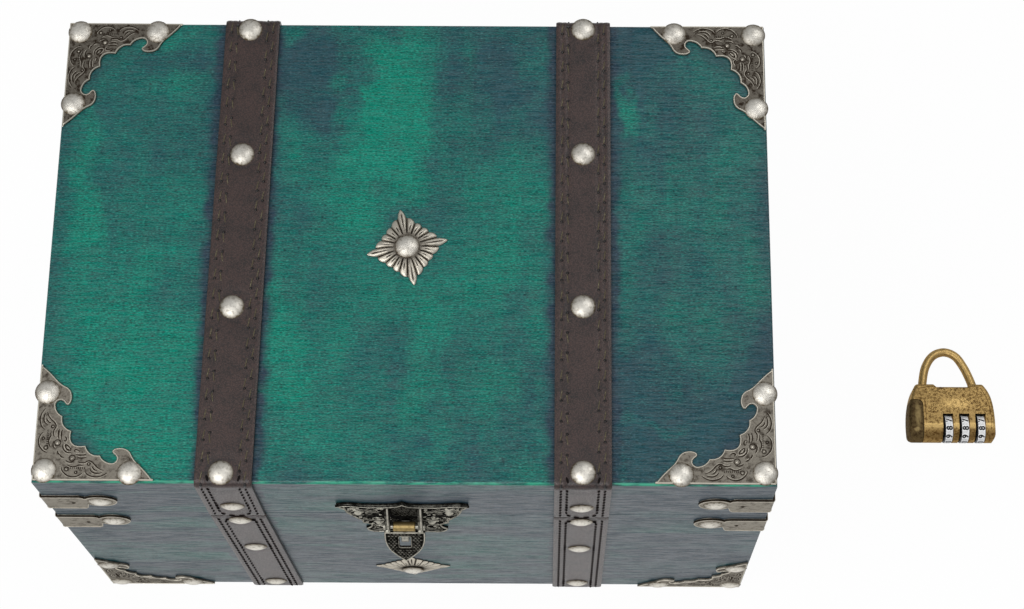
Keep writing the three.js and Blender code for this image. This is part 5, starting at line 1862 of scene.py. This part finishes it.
def slider_bar(grow):
    y = SLIDER_BAR["y"]
    half_height = SLIDER_BAR["height"] / 2 + grow
    half_thick = SLIDER_BAR["thickness"] / 2 + grow
    return block((SLIDER["x"] - 2, y - half_height, LOCK_MIDDLE - half_thick),
                 (SLIDER_BAR["reach"] + grow, y + half_height, LOCK_MIDDLE + half_thick))


def window_outline():
    """The room round a dial, open towards the face, as pairs of y and z."""
    reach, top, step = DIAL_RADIUS + LOCK_GAP, WINDOW_TOP, 1.6
    out = LOCK_THICK + 1
    start = 180 - math.degrees(math.asin(step / reach))
    end = 360 + math.degrees(math.acos((top - DIAL_Y) / reach))
    corners = [(top, out), (-1, out), (-1, DIAL_Z + step)]
    return corners + [tuple(point) for point in arc((DIAL_Y, DIAL_Z), reach, start, end, 60)]


def spindle(grow, sides):
    low, high = SPINDLE_ENDS
    return rod(SPINDLE_RADIUS + grow, DIAL_X[0] + low - grow, DIAL_X[-1] + high + grow, sides)


def case_cuts():
    """Everything that is cut out of the case."""
    half = DIAL_WIDTH / 2 + LOCK_GAP
    window = window_outline()
    windows = [swept(window, x - half - LOCK_GAP, x + half) for x in DIAL_X]
    (x0, y0), (x1, y1) = SHACKLE_ROUTE[:2]
    lean = Matrix.Rotation(-math.atan2(x1 - x0, y1 - y0), 4, "Z") @ Matrix.Rotation(-math.pi / 2, 4, "X")
    radius, low, high = TOE_HOLE
    toe = rod(radius, low, high, 24)
    x, y = SHACKLE_ROUTE[-1]
    half = SHACKLE_RADIUS + LOCK_GAP
    aside, below = EYE_ROOM
    room = block((x - aside, y - below, LOCK_MIDDLE - half),
                 (2 * LOCK_HALF, 2 * LOCK_SHOULDER, LOCK_MIDDLE + half))
    end = PIVOT_INSET - LOCK_GAP
    return [
        slider_region(LOCK_GAP), slider_bar(LOCK_GAP), *windows,
        moved(spindle(LOCK_GAP, 24), at(0, DIAL_Y, DIAL_Z) @ ALONG_X),
        moved(toe, Matrix.Translation((x0, y0, LOCK_MIDDLE)) @ lean), room,
        moved(rod(SHACKLE_BORE, end, LOCK_THICK - end, 20), at(x, y, 0)),
    ]


def window_dirt():
    """Painted shadow: dark sheets on the wall to the left of each dial and on the one above it."""
    shape = Shape()
    top, low, thin, drop = LOCK_THICK - 0.4, 1, 0.25, 2.4
    for x in DIAL_X:
        left = x - DIAL_WIDTH / 2 - 2 * LOCK_GAP
        right = x + DIAL_WIDTH / 2 + LOCK_GAP
        shape.add(block((left, low, DIAL_Z), (left + thin, WINDOW_TOP, top)), 0.0)
        shape.add(block((left, WINDOW_TOP - thin, top - drop), (right, WINDOW_TOP, top)), 0.0)
    return shape


def lock_spots(*spots):
    """Spots of the padlock's wear and painted light, given in its own frame, in the box's."""
    return [(*(LOCK_PLACE @ Vector((x, y, 0)))[:2], *reach_and_amount) for x, y, *reach_and_amount in spots]


# A bare streak from one place to another, and its half width
LOCK_STREAK = ((-4.5, 19.6), (8.5, 14.2), 2.1)
# A worn middle, then a painted highlight across the nose and painted shade below it.
LOCK_WEAR_AND_LIGHT = lock_spots((2, 17, 8.5, 3.2, 0.3), (3, 6.4, 40, 1.5, 0.6), (3, 2.4, 40, 2.8, -0.3))
# Painted highlights of the slider: a light stripe down its middle and a pale spot low.
SLIDER_HIGHLIGHTS = lock_spots((-16.6, 11.5, 1.7, 7.5, 0.38), (-17.3, 4.6, 1.7, 1.2, 0.5))
# Curved lines round the face's filigree
LOCK_LINES = [
    [(17.3, 4.5), (17.5, 11), (16.9, 16), (15.6, 20), (13.2, 24.6)],
    [(-12.9, 7), (-12.9, 15.5), (-13.6, 19), (-16.8, 20.1)],
    [(-15.4, 24.4), (-11, 25.2), (-7.6, 25.2)], [(7.6, 25.2), (10, 25.2), (12.6, 24.9)],
]


def lock_room(x, y):
    """Whether the filigree covers a place on the padlock's face."""
    (x0, y0), (x1, y1), reach = LOCK_STREAK
    share = min(max((x - x0) / (x1 - x0), 0), 1)
    if math.hypot(x - x0 - share * (x1 - x0), y - y0 - share * (y1 - y0)) < reach:
        return False
    right = LOCK_SIDES[1][0] - 3.2 - max(0, y - 15) * 0.42
    left = -12 if y < 20.6 else -15.6
    dials = DIAL_X[0] - 3.6 < x < DIAL_X[-1] + 3.2 and y < 13.2
    return left < x < right and not dials


def lock_scrolls(shape):
    """A dense filigree of small curls on the flat of the face, most of them dark."""
    filigree(shape, ((-16, 17), (7.4, 24.4)), lock_room, LOCK_THICK - 0.06, 1.2, 11)
    for line in LOCK_LINES:
        path = through(line, 6)
        shape.bead(path, LOCK_THICK - 0.1, tapered(len(path), 0.22, 0.6), 0.1)


def case_wear(points):
    """Wear of the case, painted darker on the lower edge as painted shade."""
    return 0.58 - 0.1 * np.clip((3.2 - points[:, 1]) / 2.5, 0, 1)


def shackle():
    path = lifted(through(SHACKLE_ROUTE, 9), LOCK_MIDDLE)
    radii = np.full(len(path), SHACKLE_RADIUS)
    radii[0] -= 0.35
    radii[-1] -= 0.7
    x, y = SHACKLE_ROUTE[-1]
    half = SHACKLE_RADIUS
    profile = [(EYE_RADIUS - EYE_SOFT, -half), (EYE_RADIUS, EYE_SOFT - half), (EYE_RADIUS, half - EYE_SOFT),
               (EYE_RADIUS - EYE_SOFT, half)]
    eye = moved(lathe(profile, 32), at(x, y, LOCK_MIDDLE))
    bore = moved(rod(SHACKLE_BORE, 0, LOCK_THICK, 24), at(x, y, 0))
    solid = carve(tube(path, radii, 24), ("UNION", eye), ("DIFFERENCE", bore))
    # The shackle is painted brighter on its face side and darker behind: painted highlight and painted shade.
    lit_side = np.clip((solid[0][:, 2] - LOCK_MIDDLE) / SHACKLE_RADIUS, -1, 1)
    return Shape().add(solid, 0.42 + 0.42 * lit_side * np.abs(lit_side))


class STRONGBOX_OT_padlock_case(Operator):
    """Padlock case in two halves, with its slider, shackle and pivot"""
    bl_idname = "strongbox.padlock_case"
    bl_label = "Padlock case"

    def execute(self, context):
        blank = case_blank()
        hollow = carve(blank, *[("DIFFERENCE", cut) for cut in case_cuts()])
        wide = 2 * LOCK_HALF
        halves = {"padlock_back": (-1, LOCK_MIDDLE), "padlock_front": (LOCK_MIDDLE, LOCK_THICK + 1)}
        for node, (low, high) in halves.items():
            half = carve(hollow, ("INTERSECT", block((-wide, -1, low), (wide, wide, high))))
            shape = Shape().add(half, case_wear(half[0]))
            if node == "padlock_front":
                lock_scrolls(shape)
            self.put(node + "_case", shape, "antique_brass", "padlock", node)
        self.put("padlock_window_shade", window_dirt(), "black_bronze", "padlock")
        slider = Shape().add(carve(blank, ("INTERSECT", slider_region(0)), ("UNION", slider_bar(0))), 0.16)
        self.put("padlock_slider_thumb", slider, "dull_brass", "slider", "padlock_slider")
        self.put("padlock_shackle_bow", shackle(), "rubbed_brass", "shackle", "padlock_shackle")
        pin = rod(PIVOT_RADIUS, PIVOT_INSET, LOCK_THICK - PIVOT_INSET, 20)
        pivot = Shape().add(pin, 0.5, at(*SHACKLE_ROUTE[-1], 0))
        self.put("shackle_pivot_pin", pivot, "black_bronze", "padlock", "shackle_pivot")
        return {"FINISHED"}

    def put(self, name, shape, material, body, *nodes):
        make_piece(name, shape, material, body, nodes, LOCK_PLACE, LOCK_CREASE)


# Dials: digits read with their heads to the left, and rise towards the lower edge
DIGIT_STEP = 36
DIGIT_SHOWN = (8, -11)
DIGIT_SIZE = 3.9
DIGIT_SWELL = 0.06
DIGIT_LIFT = 0.03
# Copies of a digit, moved a little, that make its strokes bold. All sit off centre, away from the dark edge
DIGIT_STROKES = np.array([(0, -0.43, 0), (0, -0.17, 0), (0.13, -0.3, 0), (-0.13, -0.3, 0)])
# The marks between digits: their places in degrees, how far they stay from the rim's ends, and half width
MARK_TURNS = (-2.5, 2.5)
MARK_INSET = 0.7
MARK_HALF = 0.06
MARK_LIFTS = (-0.02, 0.04)
DIAL_SIDES = 80
DIAL_SOFT = 0.3
# Width of the dark edge on each dial's left, and of its soft border
DIAL_SHADE = (0.65, 0.05)


def digit(text):
    """A digit's flat mesh, centred, with x along the dial's rim and y along its axis."""
    data = bpy.data.curves.new("digit", "FONT")
    data.body = text
    data.size = DIGIT_SIZE
    data.align_x = "CENTER"
    data.align_y = "CENTER"
    data.offset = DIGIT_SWELL
    data.resolution_u = 3
    points, faces = mesh_of(data)
    low, high = points.min(axis=0), points.max(axis=0)
    return points - (low + high) / 2, faces


def wrapped(points, turn, lift):
    """Lays flat points on the dial's rim at a turn from its face, in degrees."""
    angle = np.radians(turn) + points[:, 0] / DIAL_RADIUS
    radius = DIAL_RADIUS + lift
    return np.stack([-points[:, 1], radius * np.sin(angle), radius * np.cos(angle)], axis=1)


def rim_mark(turn, half_length, half_width):
    """A thin raised mark across the rim."""
    span = np.degrees(half_width / DIAL_RADIUS)
    corners = []
    for lift in MARK_LIFTS:
        flat = np.array([(0, -half_length, 0), (0, half_length, 0)])
        low = wrapped(flat, turn - span, lift)
        high = wrapped(flat, turn + span, lift)
        corners.append(np.vstack([low, high[::-1]]))
    return loft(corners)


class STRONGBOX_OT_padlock_dials(Operator):
    """Three dials with digits, and the spindle that they turn on"""
    bl_idname = "strongbox.padlock_dials"
    bl_label = "Padlock dials"

    def execute(self, context):
        half = DIAL_WIDTH / 2
        edge, border = DIAL_SHADE
        between = (edge - half, edge - half + border)
        rim = bush(DIAL_BORE, DIAL_RADIUS, -half, half, DIAL_SIDES, DIAL_SOFT, between)
        # The rim is painted dark along the dial's left edge: painted shadow of the window's wall.
        rim_shade = np.tile(np.repeat([0.0, 1.0], 4), DIAL_SIDES)
        shown, turn_shown = DIGIT_SHOWN
        shape = Shape().add(rim, rim_shade, ALONG_X)
        for number in range(10):
            points, faces = digit(str(number))
            turn = turn_shown - DIGIT_STEP * (number - shown)
            for aside in DIGIT_STROKES:
                shape.add((wrapped(points + aside, turn, DIGIT_LIFT), faces), 0.0)
            for offset in MARK_TURNS:
                mark = rim_mark(turn + DIGIT_STEP / 2 + offset, half - MARK_INSET, MARK_HALF)
                shape.add(mark, 0.42)
        for index, x in enumerate(DIAL_X):
            node = f"dial_{index + 1}"
            make_piece(node + "_digits", shape, "dial_face", node, [node], LOCK_PLACE @ at(x, DIAL_Y, DIAL_Z))
        bar = Shape().add(spindle(0, 20), 0.4, LOCK_PLACE @ at(0, DIAL_Y, DIAL_Z) @ ALONG_X)
        make_piece("dial_spindle_rod", bar, "black_bronze", "padlock", ["dial_spindle"])
        return {"FINISHED"}


# Boards
class STRONGBOX_OT_boards(Operator):
    """Stained boards of the base and the lid"""
    bl_idname = "strongbox.boards"
    bl_label = "Boards"

    def execute(self, context):
        along = ["base_floor", "base_front", "base_back", "lid_front_rail", "lid_back_rail", "lid_top"]
        ends = ["base_left", "base_right", "lid_left_rail", "lid_right_rail"]
        for names, material in ((along, "stained_wood"), (ends, "stained_wood_ends")):
            for name in names:
                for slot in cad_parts[name].material_slots:
                    slot.material = finish(material)
        return {"FINISHED"}


# Stage: floor, lamps and the photograph's camera
CAMERA_PLACE = (55.2, -324.9, 1019.4)
CAMERA_TARGET = (52.3, -24.7, 176)
CAMERA_ROLL = -0.2
CAMERA_FOCUS = 2243
IMAGE_WIDTH = 1024
IMAGE_CENTRE_X = 540
SENSOR = 36
FLOOR_SIZE = 6
FLOOR_BOUNCE = (0.34, 0.34, 0.35)
FLOOR_SEEN = (1.0, 1.0, 1.0)
FLOOR_GLOW = 0.97
# Just under the box's underside, in metres
FLOOR_HEIGHT = -0.0002
LAMP_TARGET = (0, 0, 0.1)
# Place, size and power of the lamps
LAMPS = {"key_lamp": ((-0.5, -0.7, 1.5), (1.6, 1.0), 16), "fill_lamp": ((0.7, 0.6, 1.3), (0.7, 0.5), 3.5)}
SKY_TONE = (0.95, 0.97, 1.0, 1)
SKY_STRENGTH = 0.32


def add_lamp(name, place, size, power):
    data = bpy.data.lights.new(name, "AREA")
    data.shape = "RECTANGLE"
    data.size, data.size_y = size
    data.energy = power
    lamp = bpy.data.objects.new(name, data)
    lamp.location = place
    lamp.rotation_euler = (Vector(LAMP_TARGET) - Vector(place)).to_track_quat("-Z", "Y").to_euler()
    bpy.context.collection.objects.link(lamp)


def floor_material():
    made = bpy.data.materials.new("pale_floor")
    made.use_nodes = True
    net = Net(made.node_tree)
    made.node_tree.nodes.clear()
    rays = net.node("ShaderNodeLightPath").outputs
    seen = net.larger(rays["Is Camera Ray"], rays["Is Glossy Ray"])
    seen = net.larger(seen, rays["Is Transmission Ray"])
    tone = net.mix(seen, rgba(FLOOR_BOUNCE), rgba(FLOOR_SEEN))
    diffuse = net.node("ShaderNodeBsdfDiffuse", {"Color": tone}).outputs[0]
    glow = net.node("ShaderNodeEmission", {"Color": (1, 1, 1, 1), "Strength": 1.0}).outputs[0]
    blend = net.node("ShaderNodeMixShader", {0: net.times(seen, FLOOR_GLOW), 1: diffuse, 2: glow})
    net.node("ShaderNodeOutputMaterial", {"Surface": blend.outputs[0]})
    return made


class STRONGBOX_OT_stage(Operator):
    """Pale floor, soft lamps and the camera"""
    bl_idname = "strongbox.stage"
    bl_label = "Stage"

    def execute(self, context):
        scene = context.scene
        data = bpy.data.cameras.new("camera")
        data.sensor_width = SENSOR
        data.lens = CAMERA_FOCUS / IMAGE_WIDTH * SENSOR
        data.shift_x = (IMAGE_WIDTH / 2 - IMAGE_CENTRE_X) / IMAGE_WIDTH
        camera = bpy.data.objects.new("camera", data)
        place = Vector(CAMERA_PLACE) * MM
        camera.location = place
        look = (Vector(CAMERA_TARGET) * MM - place).to_track_quat("-Z", "Y").to_matrix()
        roll = Matrix.Rotation(math.radians(CAMERA_ROLL), 3, "Z")
        camera.rotation_euler = (look @ roll).to_euler()
        context.collection.objects.link(camera)
        scene.camera = camera
        bpy.ops.mesh.primitive_plane_add(size=FLOOR_SIZE, location=(0, 0, FLOOR_HEIGHT))
        floor = context.active_object
        floor.name = "floor"
        floor.data.materials.append(floor_material())
        for name, lamp in LAMPS.items():
            add_lamp(name, *lamp)
        world = bpy.data.worlds.new("studio")
        world.use_nodes = True
        background = world.node_tree.nodes["Background"]
        background.inputs["Color"].default_value = SKY_TONE
        background.inputs["Strength"].default_value = SKY_STRENGTH
        scene.world = world
        scene.view_settings.view_transform = "Standard"
        return {"FINISHED"}


class STRONGBOX_PT_looks(Panel):
    """Builds the looks, one group of pieces at a time"""
    bl_idname = "STRONGBOX_PT_looks"
    bl_label = "Strongbox"
    bl_space_type = "VIEW_3D"
    bl_region_type = "UI"
    bl_category = "Strongbox"

    def draw(self, context):
        for operator in OPERATORS:
            self.layout.operator(operator.bl_idname)
        for group in (context.scene.strongbox_sizes, context.scene.strongbox_colours):
            column = self.layout.column()
            for name in group.__annotations__:
                column.prop(group, name)


OPERATORS = (
    STRONGBOX_OT_stage,
    STRONGBOX_OT_boards,
    STRONGBOX_OT_straps,
    STRONGBOX_OT_corner_plates,
    STRONGBOX_OT_bands,
    STRONGBOX_OT_rosettes,
    STRONGBOX_OT_hasp,
    STRONGBOX_OT_hinges,
    STRONGBOX_OT_padlock_case,
    STRONGBOX_OT_padlock_dials,
)
CLASSES = (StrongboxColours, StrongboxSizes, *OPERATORS, STRONGBOX_PT_looks)


def register():
    for made in CLASSES:
        bpy.utils.register_class(made)
    bpy.types.Scene.strongbox_colours = PointerProperty(type=StrongboxColours)
    bpy.types.Scene.strongbox_sizes = PointerProperty(type=StrongboxSizes)


def unregister():
    del bpy.types.Scene.strongbox_sizes
    del bpy.types.Scene.strongbox_colours
    for made in reversed(CLASSES):
        bpy.utils.unregister_class(made)


def main():
    register()
    bpy.ops.strongbox.stage()
    bpy.ops.strongbox.boards()
    bpy.ops.strongbox.straps()
    bpy.ops.strongbox.corner_plates()
    bpy.ops.strongbox.bands()
    bpy.ops.strongbox.rosettes()
    bpy.ops.strongbox.hasp()
    bpy.ops.strongbox.hinges()
    bpy.ops.strongbox.padlock_case()
    bpy.ops.strongbox.padlock_dials()


if __name__ == "__main__":
    main()
